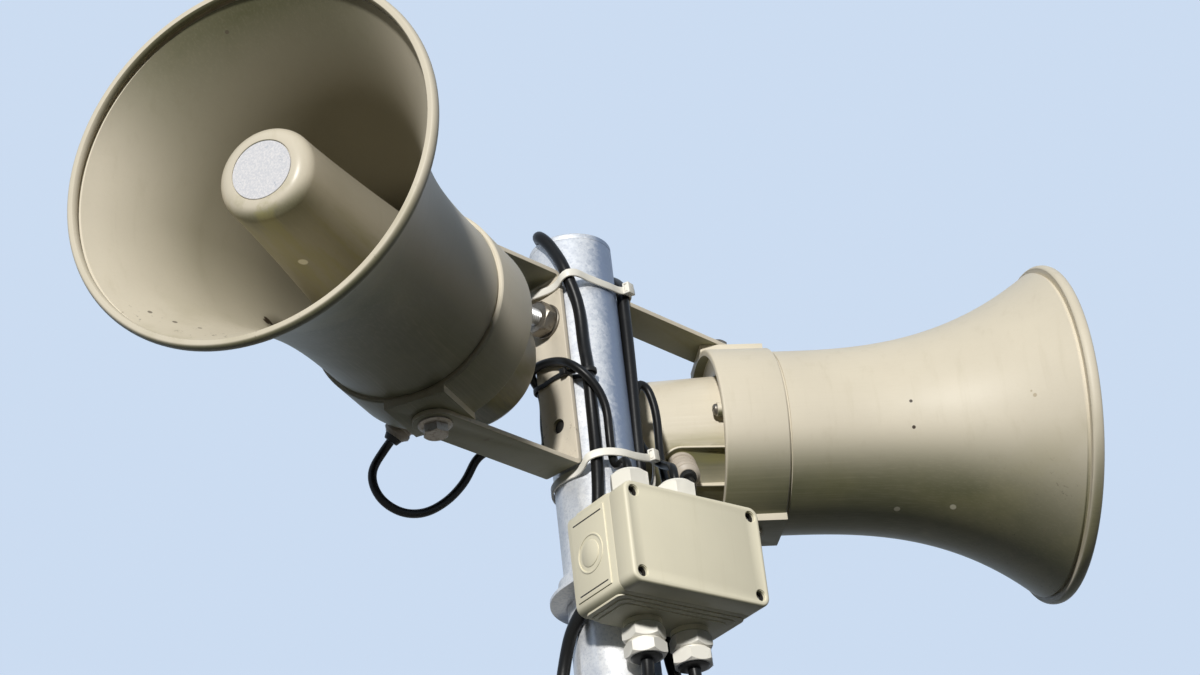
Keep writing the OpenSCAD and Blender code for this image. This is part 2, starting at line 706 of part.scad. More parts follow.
module upper_tie() {
    color(white) {
        ribbon(upper_tie_route, tie_w, tie_t, true);
        translate([18.4, -26.2, axis_h + 59.5]) rotate([0, -4, 12]) tie_head(tie_w, tie_t, 3);
    }
}

module lower_tie() {
    color(white) {
        ribbon(lower_tie_route, tie_w, tie_t, true);
        translate([16.6, -31, axis_h - 53]) rotate([0, -8, 14]) tie_head(tie_w, tie_t, 3);
    }
}

module black_tie() {
    tie_thin = 1.1;
    head = 4.4;
    color(black) {
        ribbon(black_tie_route, 3.6, tie_thin, false);
        translate([-29.5, -10.4, axis_h - 4.2]) cube([3, head, head], center = true);
    }
}

module main_cable() {
    color(black) cord(main_route, main_d);
}

module left_lead() {
    color(black) cord(left_route, lead_d);
}

module right_lead() {
    color(black) cord(right_route, lead_d);
}

module bell() {
    color(beige) turned(bell_outline);
}

module rim() {
    color(beige) difference() {
        turned(rim_outline);
        turned(bell_outline);
    }
}

module collar() {
    skirt_in = bell_r + 0.1;
    skirt_out = skirt_in + collar_wall;
    boss_h = recess + 1.5;
    pad_z = arm_z - 0.1;
    edge = 0.8;
    color(beige) difference() {
        union() {
            turned([
                [throat_out_r + 0.1, plate_back], [skirt_in - 1.5, plate_back],
                [skirt_in - 1.5, -collar_rear], [skirt_out - edge, -collar_rear],
                [skirt_out, edge - collar_rear], [skirt_out, collar_front - edge],
                [skirt_out - edge, collar_front], [skirt_in, collar_front],
                [skirt_in, bell_back], [throat_out_r + 0.1, bell_back]
            ]);
            difference() {
                for (s = [-1, 1])
                    translate([-collar_rear, -pad_w / 2, s * pad_z / 2 - pad_z / 2])
                        cube([collar_rear + collar_front, pad_w, pad_z]);
                turned([[0, -collar_rear - 1], [skirt_in + 0.5, -collar_rear - 1],
                        [skirt_in + 0.5, collar_front + 1], [0, collar_front + 1]]);
            }
            for (turn = screw_turns) rotate([turn, 0, 0])
                translate([plate_back - boss_h, 0, screw_ring_r]) rotate([0, 90, 0])
                    cylinder(r = 4.2, h = boss_h + 1);
        }
        for (s = [-1, 1]) translate([0, 0, s * arm_z]) cylinder(d = bolt_d, h = 8, center = true);
    }
}

module collar_screws() {
    head = 2.4;
    color(zinc)
        for (turn = screw_turns) rotate([turn, 0, 0])
            translate([plate_back - recess - 1.5 - head, 0, screw_ring_r]) rotate([0, 90, 0])
                difference() {
                    cylinder(r = 3.4, h = head);
                    cube([0.9, 4, 2], center = true);
                    cube([4, 0.9, 2], center = true);
                }
}

module bullet() {
    color(beige) difference() {
        turned(bullet_shell);
        translate([bullet_front - disc_t, 0, 0]) rotate([0, 90, 0])
            cylinder(r = disc_r + 0.4, h = disc_t + 1);
    }
}

module disc() {
    color(white) translate([bullet_front - disc_t, 0, 0]) rotate([0, 90, 0])
        cylinder(r = disc_r, h = disc_t);
}

module throat() {
    fin_t = 2.5;
    fin_len = 30;
    fin_at = throat_end - fin_len - 4;
    color(beige) {
        turned(throat_outline);
        intersection() {
            difference() {
                for (turn = [30 : 120 : 270]) rotate([turn, 0, 0])
                    translate([fin_at, -fin_t / 2, 0]) cube([fin_len, fin_t, bullet_rear_r]);
                turned([[0, plate_back], [throat_out_r - 0.5, plate_back],
                        [throat_out_r - 0.5, bowl_floor + 1],
                        [throat_bore(throat_end) + throat_wall - 0.5, throat_end],
                        [0, throat_end]]);
            }
            turned(concat(
                [[0, side_at]],
                [for (i = [0 : side_steps]) [bullet_outside(side_stops[i]) - bullet_wall, side_stops[i]]],
                [[0, bullet_rear]]
            ));
        }
    }
}

module can() {
    color(beige) difference() {
        turned(can_outline);
        at_pocket() linear_extrude(can_r) {
            circle(pocket_w / 2);
            translate([0, -pocket_w / 2]) square([can_r, pocket_w]);
        }
    }
}

module gland() {
    color(black) at_pocket() rotate_extrude() polygon([
        [0, 0], [gland_r, 0], [gland_r, 3], [gland_r - 1.5, 3.5], [gland_r - 1.5, 8],
        [gland_r - 0.6, 8.5], [gland_r - 0.6, 12], [gland_r - 2, 12.5], [gland_r - 2, 16],
        [gland_r - 1.2, 16.5], [gland_r - 1.2, 20], [gland_r - 3, 21],
        [lead_d / 2 + 1.5, gland_len], [0, gland_len]
    ]);
}

module pivot_bolts() {
    flange_r = bolt_d * 1.2;
    flange_t = 2;
    grip = strip_t + 3.7;
    color(zinc) for (s = [0, 180]) rotate([s, 0, 0]) translate([0, 0, arm_top]) {
        translate([0, 0, -grip]) cylinder(d = bolt_d, h = grip);
        cylinder(r = flange_r, h = flange_t);
        translate([0, 0, flange_t]) hexagon(head_af, head_h);
    }
}

module left_bell() { at_horn(-1) bell(); }
module left_rim() { at_horn(-1) rim(); }
module left_collar() { at_horn(-1) collar(); }
module left_bullet() { at_horn(-1) bullet(); }
module left_disc() { at_horn(-1) disc(); }
module left_throat() { at_horn(-1) throat(); }
module left_can() { at_horn(-1) can(); }
module left_gland() { at_horn(-1) gland(); }
module left_collar_screws() { at_horn(-1) collar_screws(); }
module left_pivot_bolts() { at_horn(-1) pivot_bolts(); }
module right_bell() { at_horn(1) bell(); }
module right_rim() { at_horn(1) rim(); }
module right_collar() { at_horn(1) collar(); }
module right_bullet() { at_horn(1) bullet(); }
module right_disc() { at_horn(1) disc(); }
module right_throat() { at_horn(1) throat(); }
module right_can() { at_horn(1) can(); }
module right_gland() { at_horn(1) gland(); }
module right_collar_screws() { at_horn(1) collar_screws(); }
module right_pivot_bolts() { at_horn(1) pivot_bolts(); }

base_plate();
base_gussets();
mast_tube();
tube_cap();
left_yoke();
right_yoke();
through_bolt();
through_nut();
junction_box();
box_lid();
lid_screws();
top_glands();
bottom_glands();
gland_seals();
box_bracket();
bracket_screws();
upper_tie();
lower_tie();
black_tie();
main_cable();
left_lead();
right_lead();
left_bell();
left_rim();
left_collar();
left_bullet();
left_disc();
left_throat();
left_can();
left_gland();
left_collar_screws();
left_pivot_bolts();
right_bell();
right_rim();
right_collar();
right_bullet();
right_disc();
right_throat();
right_can();
right_gland();
right_collar_screws();
right_pivot_bolts();
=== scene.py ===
"""Horn loudspeaker mast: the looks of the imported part, as an add-on that runs as a script."""

import json
import math

import bmesh
import bpy
from bpy.props import FloatProperty, FloatVectorProperty, PointerProperty
from mathutils import Matrix, Vector


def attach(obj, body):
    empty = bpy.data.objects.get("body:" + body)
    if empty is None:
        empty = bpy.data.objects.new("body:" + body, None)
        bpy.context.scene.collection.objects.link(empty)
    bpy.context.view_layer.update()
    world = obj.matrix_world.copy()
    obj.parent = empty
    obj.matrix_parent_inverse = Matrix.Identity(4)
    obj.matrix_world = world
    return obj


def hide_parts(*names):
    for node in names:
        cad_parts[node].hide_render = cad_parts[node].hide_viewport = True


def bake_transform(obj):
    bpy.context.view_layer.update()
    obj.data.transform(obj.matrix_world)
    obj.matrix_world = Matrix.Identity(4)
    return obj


bl_info = {
    "name": "Horn loudspeaker mast",
    "version": (1, 0, 0),
    "blender": (4, 5, 0),
    "location": "View3D > Sidebar > Horn mast",
    "description": "Horns, yokes, junction box, glands, leads and finishes of a loudspeaker mast",
    "category": "Add Mesh",
}

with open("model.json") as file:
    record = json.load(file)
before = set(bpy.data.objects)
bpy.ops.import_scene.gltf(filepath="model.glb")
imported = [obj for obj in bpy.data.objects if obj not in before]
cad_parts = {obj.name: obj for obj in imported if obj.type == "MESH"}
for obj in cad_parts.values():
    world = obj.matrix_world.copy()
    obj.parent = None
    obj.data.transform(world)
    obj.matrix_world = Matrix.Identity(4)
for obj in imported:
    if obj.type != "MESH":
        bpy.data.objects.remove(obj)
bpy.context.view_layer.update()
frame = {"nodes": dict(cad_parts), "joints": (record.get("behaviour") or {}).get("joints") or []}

# The photograph's camera, fitted in its own 1200 by 675 frame. Places are in metres.
PHOTO_WIDTH = 1200
FOCAL_PIXELS = 3066
EYE = Vector((-1.1910, -1.0222, 1.5713))
FORWARD = Vector((0.66982, 0.56608, 0.48052))
RIGHT = Vector((0.6843, -0.7218, -0.1036))

SIDES = ("left", "right")
PIVOT = {side: frame["joints"][i]["pos_m"] for i, side in enumerate(SIDES)}
QUARTER = math.pi / 2
HALF = math.pi


# ---- sizes and colours ----

def size(name, description, default):
    """A length in metres that the user can change."""
    return FloatProperty(name=name, description=description, default=default, min=0.0,
                         precision=4, unit="LENGTH", subtype="DISTANCE")


def turn(name, description, degrees):
    """An angle that the user can change."""
    return FloatProperty(name=name, description=description, default=math.radians(degrees),
                         subtype="ANGLE", unit="ROTATION")


def colour(name, description, default):
    """A colour that the user can change."""
    return FloatVectorProperty(name=name, description=description, default=default, size=3,
                               min=0.0, max=1.0, subtype="COLOR")


class MastSizes(bpy.types.PropertyGroup):
    """Sizes of the mast tube and its base."""
    axis_height: size("Axis height", "Height of the horns' centre line", PIVOT["left"][2])
    tube_radius: size("Tube radius", "Outer radius of the mast tube", 0.02415)
    tube_wall: size("Tube wall", "Wall of the mast tube", 0.0032)
    tube_above: size("Tube above", "Length of tube above the horns' centre line", 0.086)
    plate_thickness: size("Plate thickness", "Thickness of the base plate", 0.012)


class HornSizes(bpy.types.PropertyGroup):
    """Sizes of the horns, the same for both."""
    left_turn: turn("Left turn", "Direction of the left horn round its pivot", 200)
    right_turn: turn("Right turn", "Direction of the right horn round its pivot", -39)
    bell_radius: size("Bell radius", "Radius of the bell's straight part", 0.056)
    mouth_radius: size("Mouth radius", "Radius of the bell at its mouth", 0.103)
    mouth_at: size("Mouth place", "Distance from the pivot to the mouth", 0.197)
    flare_at: size("Flare start", "Distance from the pivot to the start of the flare", 0.030)
    bell_wall: size("Bell wall", "Wall of the bell", 0.0024)
    can_radius: size("Can radius", "Radius of the driver can at the collar", 0.042)
    can_rear_radius: size("Can rear radius", "Radius of the driver can at its rear", 0.039)


class BoxSizes(bpy.types.PropertyGroup):
    """Place and sizes of the junction box."""
    drop: size("Drop", "Distance from the horns' centre line down to the box's centre", 0.134)
    swing: turn("Turn", "Turn of the box round the mast", -10.5)
    shift: size("Shift", "Shift of the box to the right of the mast", 0.0025)
    gap: size("Gap", "Gap between the mast and the box's back", 0.001)
    width: size("Width", "Width of the box", 0.093)
    height: size("Height", "Height of the box", 0.060)
    depth: size("Depth", "Depth of the box without its lid", 0.039)
    lid: size("Lid", "Depth of the lid", 0.014)


class Finishes(bpy.types.PropertyGroup):
    """Colours of the finishes and strengths of the lights."""
    horn: colour("Horn shell", "Beige of the horns", (0.700, 0.640, 0.520))
    yoke: colour("Yoke paint", "Beige paint of the yokes", (0.720, 0.650, 0.530))
    box: colour("Box moulding", "Beige of the junction box", (0.830, 0.780, 0.610))
    zinc: colour("Galvanised", "Hot-dip zinc of the mast", (0.770, 0.775, 0.785))
    fixing: colour("Fixings", "Plated bolts and screws", (0.200, 0.180, 0.150))
    nylon: colour("White nylon", "Glands and light cable ties", (0.880, 0.860, 0.800))
    sheath: colour("Cable sheath", "Black cables", (0.008, 0.008, 0.008))
    badge: colour("Blank plate", "Bare worn plate on each bullet", (0.720, 0.715, 0.740))
    air: colour("Fill colour", "Colour of the light from all round", (0.850, 0.960, 0.780))
    floor: colour("Floor", "Plain floor", (0.800, 0.810, 0.820))
    backdrop: colour("Backdrop", "Plain backdrop behind the mast", (0.600, 0.715, 0.880))
    key: FloatProperty(name="Key light", description="Strength of the main light",
                       default=3.5, min=0.0)
    fill: FloatProperty(name="Fill", description="Strength of the light from all round",
                        default=0.04, min=0.0)


class HornMast(bpy.types.PropertyGroup):
    """Everything that the panel shows."""
    mast: PointerProperty(type=MastSizes)
    horn: PointerProperty(type=HornSizes)
    box: PointerProperty(type=BoxSizes)
    finish: PointerProperty(type=Finishes)


def settings():
    return bpy.context.scene.horn_mast


def mm(metres):
    """Pieces are drawn in millimetres and written in metres."""
    return metres * 1000


# ---- places ----

# The junction box's glands: their places across its width, how far each row stands in front of
# its back, and the heights of their seats and of the cords' ends over the box's centre.
TOP_GLANDS = (-14.5, 18.5)
TOP_ROW, TOP_SEAT, TOP_END = 19, 32.8, 55.8
BOTTOM_GLANDS = (-11.5, 21)
BOTTOM_ROW, BOTTOM_SEAT, BOTTOM_END = 12, 35, -48.8
# Distance of the lid's screws from its edges.
SCREW_INSET = 6.2
# The pocket in each driver can: how far behind the pivot, and its floor's distance off the axis.
POCKET_BACK, POCKET_FLOOR = 37, 38
# Where the lead leaves a horn's gland, above the pocket's floor.
GLAND_END = 25


def shift(x=0.0, y=0.0, z=0.0):
    return Matrix.Translation((x, y, z))


def spin(axis, angle):
    return Matrix.Rotation(angle, 4, axis)


def axis_height():
    return mm(settings().mast.axis_height)


def axis_place():
    return shift(z=axis_height())


def horn_place(side):
    """Where a horn's own +X axis runs from its pivot to its mouth."""
    angle = getattr(settings().horn, f"{side}_turn")
    return shift(*(Vector(PIVOT[side]) * 1000)) @ spin("Z", angle)


def pocket_place(side):
    """Where +Z points out of the flat pocket in the can, under the lead gland."""
    return (horn_place(side) @ shift(-POCKET_BACK) @ spin("X", math.radians(135))
            @ shift(z=POCKET_FLOOR))


def box_place():
    """Where the box's back is y = 0 and its front faces -Y."""
    box, mast = settings().box, settings().mast
    return (shift(z=mm(mast.axis_height - box.drop)) @ spin("Z", box.swing)
            @ shift(mm(box.shift), -mm(mast.tube_radius + box.gap)))


# ---- shader maths ----

class Value:
    """A socket of a node tree: arithmetic on it adds Math nodes."""

    def __init__(self, nodes, socket):
        self.nodes = nodes
        self.socket = socket

    def _math(self, operation, first, second):
        return self.nodes.node("ShaderNodeMath", {"operation": operation}, {0: first, 1: second})

    def __add__(self, other):
        return self._math("ADD", self, other)

    def __sub__(self, other):
        return self._math("SUBTRACT", self, other)

    def __rsub__(self, other):
        return self._math("SUBTRACT", other, self)

    def __mul__(self, other):
        return self._math("MULTIPLY", self, other)

    def __gt__(self, other):
        return self._math("GREATER_THAN", self, other)

    def __lt__(self, other):
        return self._math("LESS_THAN", self, other)


class Nodes:
    """A node tree whose nodes are added one at a time."""

    def __init__(self, tree):
        self.tree = tree

    def node(self, kind, setup=None, inlets=None, outlet=0):
        """Adds a node with its settings and the values or links of its sockets."""
        made = self.tree.nodes.new(kind)
        for key, value in (setup or {}).items():
            setattr(made, key, value)
        for key, value in (inlets or {}).items():
            self.join(value, made.inputs[key])
        return Value(self, made.outputs[outlet])

    def join(self, value, inlet):
        """Links a value to a socket, or writes a plain number or colour there."""
        if isinstance(value, Value):
            self.tree.links.new(value.socket, inlet)
        elif isinstance(value, (int, float)) or inlet.type == "VECTOR":
            inlet.default_value = value
        else:
            inlet.default_value = (*value, 1)

    def split_by_ray(self, lighting, shown):
        """One shader for light on its way, and another for what the camera sees, also in gloss
        and through glass."""
        camera, glossy, through = [self.node("ShaderNodeLightPath", outlet=f"Is {name} Ray")
                                   for name in ("Camera", "Glossy", "Transmission")]
        return self.node("ShaderNodeMixShader", inlets={
            0: camera + glossy + through, 1: lighting, 2: shown})


class Paint(Nodes):
    """A finish: a Principled material."""

    def __init__(self, name, roughness=0.5, metallic=0.0, specular=0.5):
        self.material = bpy.data.materials.new(name)
        self.material.use_nodes = True
        super().__init__(self.material.node_tree)
        self.shader = self.tree.nodes["Principled BSDF"]
        for inlet, number in (("Roughness", roughness), ("Metallic", metallic),
                              ("Specular IOR Level", specular)):
            self.shader.inputs[inlet].default_value = number
        self.object = self.node("ShaderNodeTexCoord", outlet="Object")

    def stretched(self, scale, where=None):
        """Coordinates with each axis scaled on its own."""
        return self.node("ShaderNodeMapping", inlets={
            "Vector": where or self.object, "Scale": scale})

    def noise(self, scale, detail=4.0, rough=0.5, where=None):
        return self.node("ShaderNodeTexNoise", inlets={
            "Vector": where or self.object, "Scale": scale, "Detail": detail, "Roughness": rough})

    def soft(self, value, low, high):
        """0 below low and 1 above high, with a smooth step between."""
        return self.node("ShaderNodeMapRange", {"interpolation_type": "SMOOTHSTEP"}, {
            "Value": value, "From Min": low, "From Max": high})

    def mix(self, share, first, second):
        """A colour between two others."""
        return self.node("ShaderNodeMix", {"data_type": "RGBA", "clamp_factor": True}, {
            0: share, 6: first, 7: second}, 2)

    def kept(self, name, outlet):
        """What a piece keeps on its points."""
        return self.node("ShaderNodeAttribute", {"attribute_name": name}, outlet=outlet)

    def parts(self, vector):
        split = self.node("ShaderNodeSeparateXYZ", inlets={0: vector}).socket.node
        return [Value(self, outlet) for outlet in split.outputs]

    def near(self, point, radius):
        """1 within a radius of a point and 0 outside."""
        apart = self.node("ShaderNodeVectorMath", {"operation": "DISTANCE"}, {
            0: self.object, 1: point}, "Value")
        return 1 - self.soft(apart, radius * 0.7, radius)

    def finish(self, shade, roughness, bump=None, depth=0.0001, strength=0.6):
        """Links what varies over the surface to the shader."""
        self.join(shade, self.shader.inputs["Base Color"])
        self.join(roughness, self.shader.inputs["Roughness"])
        if bump is not None:
            normal = self.node("ShaderNodeBump", inlets={
                "Height": bump, "Distance": depth, "Strength": strength})
            self.join(normal, self.shader.inputs["Normal"])
        return self.material


def scaled(shade, *factors):
    """A colour times one factor, or a factor for each channel."""
    factors = factors * 3 if len(factors) == 1 else factors
    return tuple(min(1.0, channel * factor) for channel, factor in zip(shade, factors))


def weathered_with_under_shade(paint, shade, mottle, specks, rust=0.0, painted_shade=0.6):
    """Painted or moulded beige: slow mottling, rain streaks, dirt specks and a little rust.
    Undersides are darkened to olive: painted shade."""
    slow = paint.noise(14, 5, 0.55)
    streaks = paint.noise(1, 6, 0.6, paint.stretched((160, 160, 9)))
    fine = paint.noise(420, 3, 0.6)
    base = paint.mix(paint.soft(slow, 0.3, 0.7), scaled(shade, 1 - mottle),
                     scaled(shade, 1 + mottle * 0.6))
    base = paint.mix(paint.soft(streaks, 0.52, 0.78) * 0.22, base,
                     scaled(shade, 0.72, 0.70, 0.62))
    dirt = paint.soft(paint.noise(210, 6, 0.75), 0.66, 0.74) * paint.soft(slow, 0.45, 0.65)
    base = paint.mix(dirt * specks, base, scaled(shade, 0.30, 0.27, 0.22))
    # Faces that point down are darkened to olive: painted shade.
    upward = paint.parts(paint.node("ShaderNodeNewGeometry", outlet="Normal"))[2]
    under = paint.soft(0 - upward, 0.25, 0.85) * (slow * 0.4 + 0.8)
    base = paint.mix(under * painted_shade, base, scaled(shade, 0.15, 0.17, 0.09))
    if rust:
        spots = paint.soft(paint.noise(95, 8, 0.72), 0.60, 0.68)
        base = paint.mix(spots * rust, base, (0.105, 0.058, 0.026))
    return base, slow, fine, dirt


# Marks on the horns: a colour, its strength, and where each spot is with its radius, in metres.
MARKS_AND_SHADOW_TIP = (
    ((0.045, 0.030, 0.018), 1.0, (
        ((0.1667, -0.1092, 2.3948), 0.0012), ((0.1690, -0.1066, 2.3791), 0.0013),
        # The next two spots, by the left bell's lower lip, are a painted shadow: the tip of the
        # bullet's cast shadow.
        ((-0.2298, 0.0162, 2.3742), 0.0038), ((-0.2330, 0.0130, 2.3725), 0.0030))),
    ((0.830, 0.790, 0.620), 0.7, (
        ((0.1870, -0.0725, 2.3439), 0.0022), ((0.2068, -0.0990, 2.3400), 0.0022),
        ((-0.2587, -0.0434, 2.3716), 0.0030))),
    ((0.350, 0.270, 0.150), 0.6, (
        ((0.2060, -0.1700, 2.3844), 0.0014), ((0.2055, -0.1685, 2.3875), 0.0010),
        ((0.1770, -0.1220, 2.3860), 0.0012))),
    ((0.120, 0.100, 0.075), 0.8, (
        ((-0.3227, 0.0019, 2.3415), 0.0015), ((-0.3144, -0.0071, 2.3345), 0.0016),
        ((-0.3057, -0.0157, 2.3300), 0.0013), ((-0.3068, -0.0487, 2.4904), 0.0013))),
)
# Radius in metres that tells the bullet from the bell round it.
BULLET_REACH = 0.045


def horn_shell(tone):
    """The horns' beige: drawn lines along the bell, litter low down, mossy growth low down with
    painted shade on the lower side, green on the bullet, painted shade deep inside, and the marks,
    two of which are a painted shadow."""
    horn = Paint("horn_shell", specular=0.3)
    film = horn.kept("film", "Fac")
    base, slow, fine, dirt = weathered_with_under_shade(horn, tone, 0.04, 0.25, 0.0, 0.9 - film * 0.8)
    local = horn.kept("local", "Vector")
    along, across, up = horn.parts(local)
    low = 0 - up
    out = horn.node("ShaderNodeMath", {"operation": "SQRT"}, {0: across * across + up * up})
    bullet = out < BULLET_REACH
    drawn = horn.noise(1, 5, 0.6, horn.stretched((25, 900, 900), local))
    base = horn.mix(horn.soft(drawn, 0.45, 0.75) * 0.10, base, scaled(tone, 0.80, 0.79, 0.70))
    inside = horn.soft(along, 0.09, 0.15) * horn.soft(low, 0.04, 0.085) * (out > 0.05)
    litter = (horn.soft(horn.noise(300, 5, 0.7), 0.60, 0.68)
              * horn.soft(horn.noise(40, 3), 0.48, 0.58))
    base = horn.mix(litter * inside * 0.8, base, (0.060, 0.048, 0.030))
    # Mossy growth on the lower side, darkened further as painted shade.
    moss_and_low_shade = horn.soft(horn.noise(22, 5), 0.46, 0.66) * horn.soft(low, 0.02, 0.07)
    base = horn.mix(moss_and_low_shade * 0.28, base, scaled(tone, 0.50, 0.50, 0.34))
    streaks = horn.noise(1, 5, 0.6, horn.stretched((9, 70, 70), local))
    green = horn.soft(streaks, 0.44, 0.62) * horn.soft(low, 0.005, 0.022) * bullet
    base = horn.mix(green * 0.55, base, scaled(tone, 0.46, 0.47, 0.22))
    # Painted shade deep inside the bell and on the bullet's sides.
    base = horn.mix(film * 0.8, base, scaled(tone, 0.30, 0.30, 0.25))
    for shade, strength, spots in MARKS_AND_SHADOW_TIP:
        for place, radius in spots:
            base = horn.mix(horn.near(place, radius) * strength, base, shade)
    return horn.finish(base, slow * 0.12 + 0.42 + dirt * 0.3 - bullet * 0.14,
                       fine * 0.35 + drawn * 0.25, 0.0002, 0.3)


def galvanised(tone):
    """Hot-dip zinc: spangle, frost and grain. The side away from the key light is painted darker
    and bluish: painted reflection of blue sky and painted shade."""
    zinc = Paint("galvanised", metallic=0.42)
    cells = zinc.node("ShaderNodeTexVoronoi", inlets={"Vector": zinc.object, "Scale": 420},
                      outlet="Color")
    tint = zinc.parts(cells)[0]
    cloud = zinc.noise(24, 6, 0.6)
    frost = zinc.noise(620, 4, 0.7)
    grain = zinc.noise(1500, 2, 0.6)
    base = zinc.mix(zinc.soft(cloud, 0.35, 0.68), scaled(tone, 0.86, 0.88, 0.92),
                    scaled(tone, 1.10, 1.09, 1.07))
    base = zinc.mix(zinc.soft(frost, 0.44, 0.66) * 0.55, base, scaled(tone, 0.62, 0.66, 0.73))
    base = zinc.mix(tint * 0.22, base, scaled(tone, 1.25))
    base = zinc.mix(zinc.soft(grain, 0.55, 0.75) * 0.25, base, scaled(tone, 1.3))
    # Above 0.3 m, the side away from the key light is darkened and tinted blue: painted reflection
    # and painted shade.
    east, north, up = zinc.parts(zinc.object)
    sunward = east * -41.0 - north * 7.2 + cloud * 0.3 + tint * 0.1
    painted_sky_and_shade = zinc.soft(0.98 - sunward, 0.1, 0.62) * zinc.soft(up, 0.3, 0.7)
    base = zinc.mix(painted_sky_and_shade * 0.92, base, scaled(tone, 0.24, 0.31, 0.45))
    return zinc.finish(base, tint * 0.10 + cloud * 0.14 + 0.36, frost * 0.6 + grain * 0.4,
                       0.0001, 0.4)


def clouded(name, metallic, noise, shades, rough, bump=None):
    """A finish that drifts between two shades, and grows rougher as it does."""
    paint = Paint(name, metallic=metallic)
    cloud = paint.noise(*noise)
    roughness = cloud * rough[0] + rough[1]
    shade = paint.mix(cloud, *shades)
    return paint.finish(shade, roughness, cloud, *bump) if bump else paint.finish(shade, roughness)


def paints():
    """Every finish of the mast, by name."""
    tones = settings().finish
    made = {"horn": horn_shell(tones.horn), "zinc": galvanised(tones.zinc)}

    yoke = Paint("yoke_paint")
    base, slow, fine, dirt = weathered_with_under_shade(yoke, tones.yoke, 0.08, 0.6, 0.45, 0.9)
    made["yoke"] = yoke.finish(base, slow * 0.2 + 0.42 + dirt * 0.3, fine, 0.0002, 0.5)

    box = Paint("box_moulding")
    base, slow, fine, dirt = weathered_with_under_shade(box, tones.box, 0.035, 0.25)
    made["box"] = box.finish(base, slow * 0.12 + 0.44, fine * 0.5 + box.noise(2200, 2),
                             0.0001, 0.35)

    fixing = Paint("plated", metallic=0.75)
    haze = fixing.noise(160, 6, 0.65)
    tarnish = fixing.soft(fixing.noise(420, 6, 0.7), 0.50, 0.64)
    base = fixing.mix(haze, scaled(tones.fixing, 0.65), scaled(tones.fixing, 1.35))
    base = fixing.mix(tarnish * 0.5, base, (0.105, 0.072, 0.042))
    made["fixing"] = fixing.finish(base, haze * 0.25 + 0.28 + tarnish * 0.2, haze, 0.0001, 0.4)

    nylon = Paint("white_nylon")
    milk = nylon.noise(75, 5)
    soil = nylon.soft(nylon.noise(240, 6, 0.7), 0.62, 0.74)
    base = nylon.mix(milk, scaled(tones.nylon, 0.94, 0.93, 0.90), scaled(tones.nylon, 1.03))
    base = nylon.mix(soil * 0.30, base, scaled(tones.nylon, 0.50, 0.47, 0.38))
    made["nylon"] = nylon.finish(base, milk * 0.2 + 0.34, milk, 0.0001, 0.4)

    sheath = Paint("cable_sheath", specular=0.2)
    dust = sheath.soft(sheath.noise(55, 7, 0.7), 0.52, 0.78)
    scuff = sheath.soft(sheath.noise(500, 4, 0.7), 0.62, 0.76)
    base = sheath.mix(dust * 0.20 + scuff * 0.12, tones.sheath, (0.040, 0.038, 0.035))
    made["sheath"] = sheath.finish(base, dust * 0.2 + 0.36, sheath.noise(700, 3), 0.0001, 0.5)

    black = Paint("black_nylon", specular=0.2)
    bloom = black.noise(160, 6, 0.7)
    base = black.mix(black.soft(bloom, 0.4, 0.7), (0.008, 0.008, 0.008), (0.026, 0.025, 0.023))
    made["black"] = black.finish(base, bloom * 0.3 + 0.3, bloom)

    badge = Paint("bare_plate")
    worn = badge.noise(900, 5, 0.7)
    patch = badge.soft(worn, 0.40, 0.66)
    stain = badge.soft(badge.noise(230, 6, 0.75), 0.60, 0.70)
    base = badge.mix(patch, scaled(tones.badge, 0.88, 0.90, 0.93),
                     scaled(tones.badge, 1.10, 1.09, 1.08))
    base = badge.mix(stain * 0.45, base, (0.260, 0.330, 0.430))
    made["badge"] = badge.finish(base, patch * 0.2 + 0.4, worn, 0.0001, 0.4)

    made["weld"] = clouded("weld", 0.7, (320, 4), (
        scaled(tones.zinc, 0.5), scaled(tones.zinc, 0.95)), (0.3, 0.3), (0.0004, 0.6))
    made["steel"] = clouded("bright_steel", 0.6, (260, 5, 0.65), (
        (0.380, 0.375, 0.360), (0.720, 0.715, 0.700)), (0.2, 0.24), (0.0001, 0.4))
    made["putty"] = clouded("grey_nylon", 0.0, (120, 6, 0.7), (
        (0.400, 0.350, 0.290), (0.600, 0.530, 0.450)), (0.2, 0.4), (0.0001, 0.6))
    # Near-black finish for the painted shade in holes, slots, joints and screw wells.
    made["hollow"] = clouded("dark_hollow", 0.0, (200, 4), (
        (0.008, 0.007, 0.006), (0.030, 0.026, 0.020)), (0.3, 0.6))
    return made


FINISH = {}


# ---- drawing ----

def linked(name, data):
    made = bpy.data.objects.new(name, data)
    bpy.context.scene.collection.objects.link(made)
    return made


def new_piece(name, bm, finish, place=None, local=False, sharp=35):
    """Writes a shape drawn in millimetres as an object in metres."""
    if local:
        layer = bm.verts.layers.float_vector.new("local")
        for vert in bm.verts:
            vert[layer] = vert.co / 1000
    moved(bm, Matrix.Scale(0.001, 4) @ (place or Matrix.Identity(4)))
    mesh = bpy.data.meshes.new(name)
    bm.to_mesh(mesh)
    bm.free()
    mesh.materials.append(FINISH[finish])
    mesh.shade_smooth()
    mesh.set_sharp_from_angle(angle=math.radians(sharp))
    return linked(name, mesh)


def add(name, bm, finish, nodes=(), place=None, body="mast", local=False, sharp=35):
    """A new piece, the CAD nodes it stands for and its body."""
    piece = new_piece(name, bm, finish, place, local, sharp)
    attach(piece, body)
    if nodes:
        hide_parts(*nodes)
    return piece


def copy_of(node, place=None):
    """A CAD node's solid in millimetres, merged, with its flat faces made whole."""
    bm = bmesh.new()
    bm.from_mesh(frame["nodes"][node].data)
    moved(bm, (place or Matrix.Identity(4)).inverted() @ Matrix.Scale(1000, 4))
    bmesh.ops.remove_doubles(bm, verts=bm.verts, dist=0.004)
    bmesh.ops.dissolve_limit(bm, angle_limit=math.radians(0.6), verts=bm.verts, edges=bm.edges)
    return bm


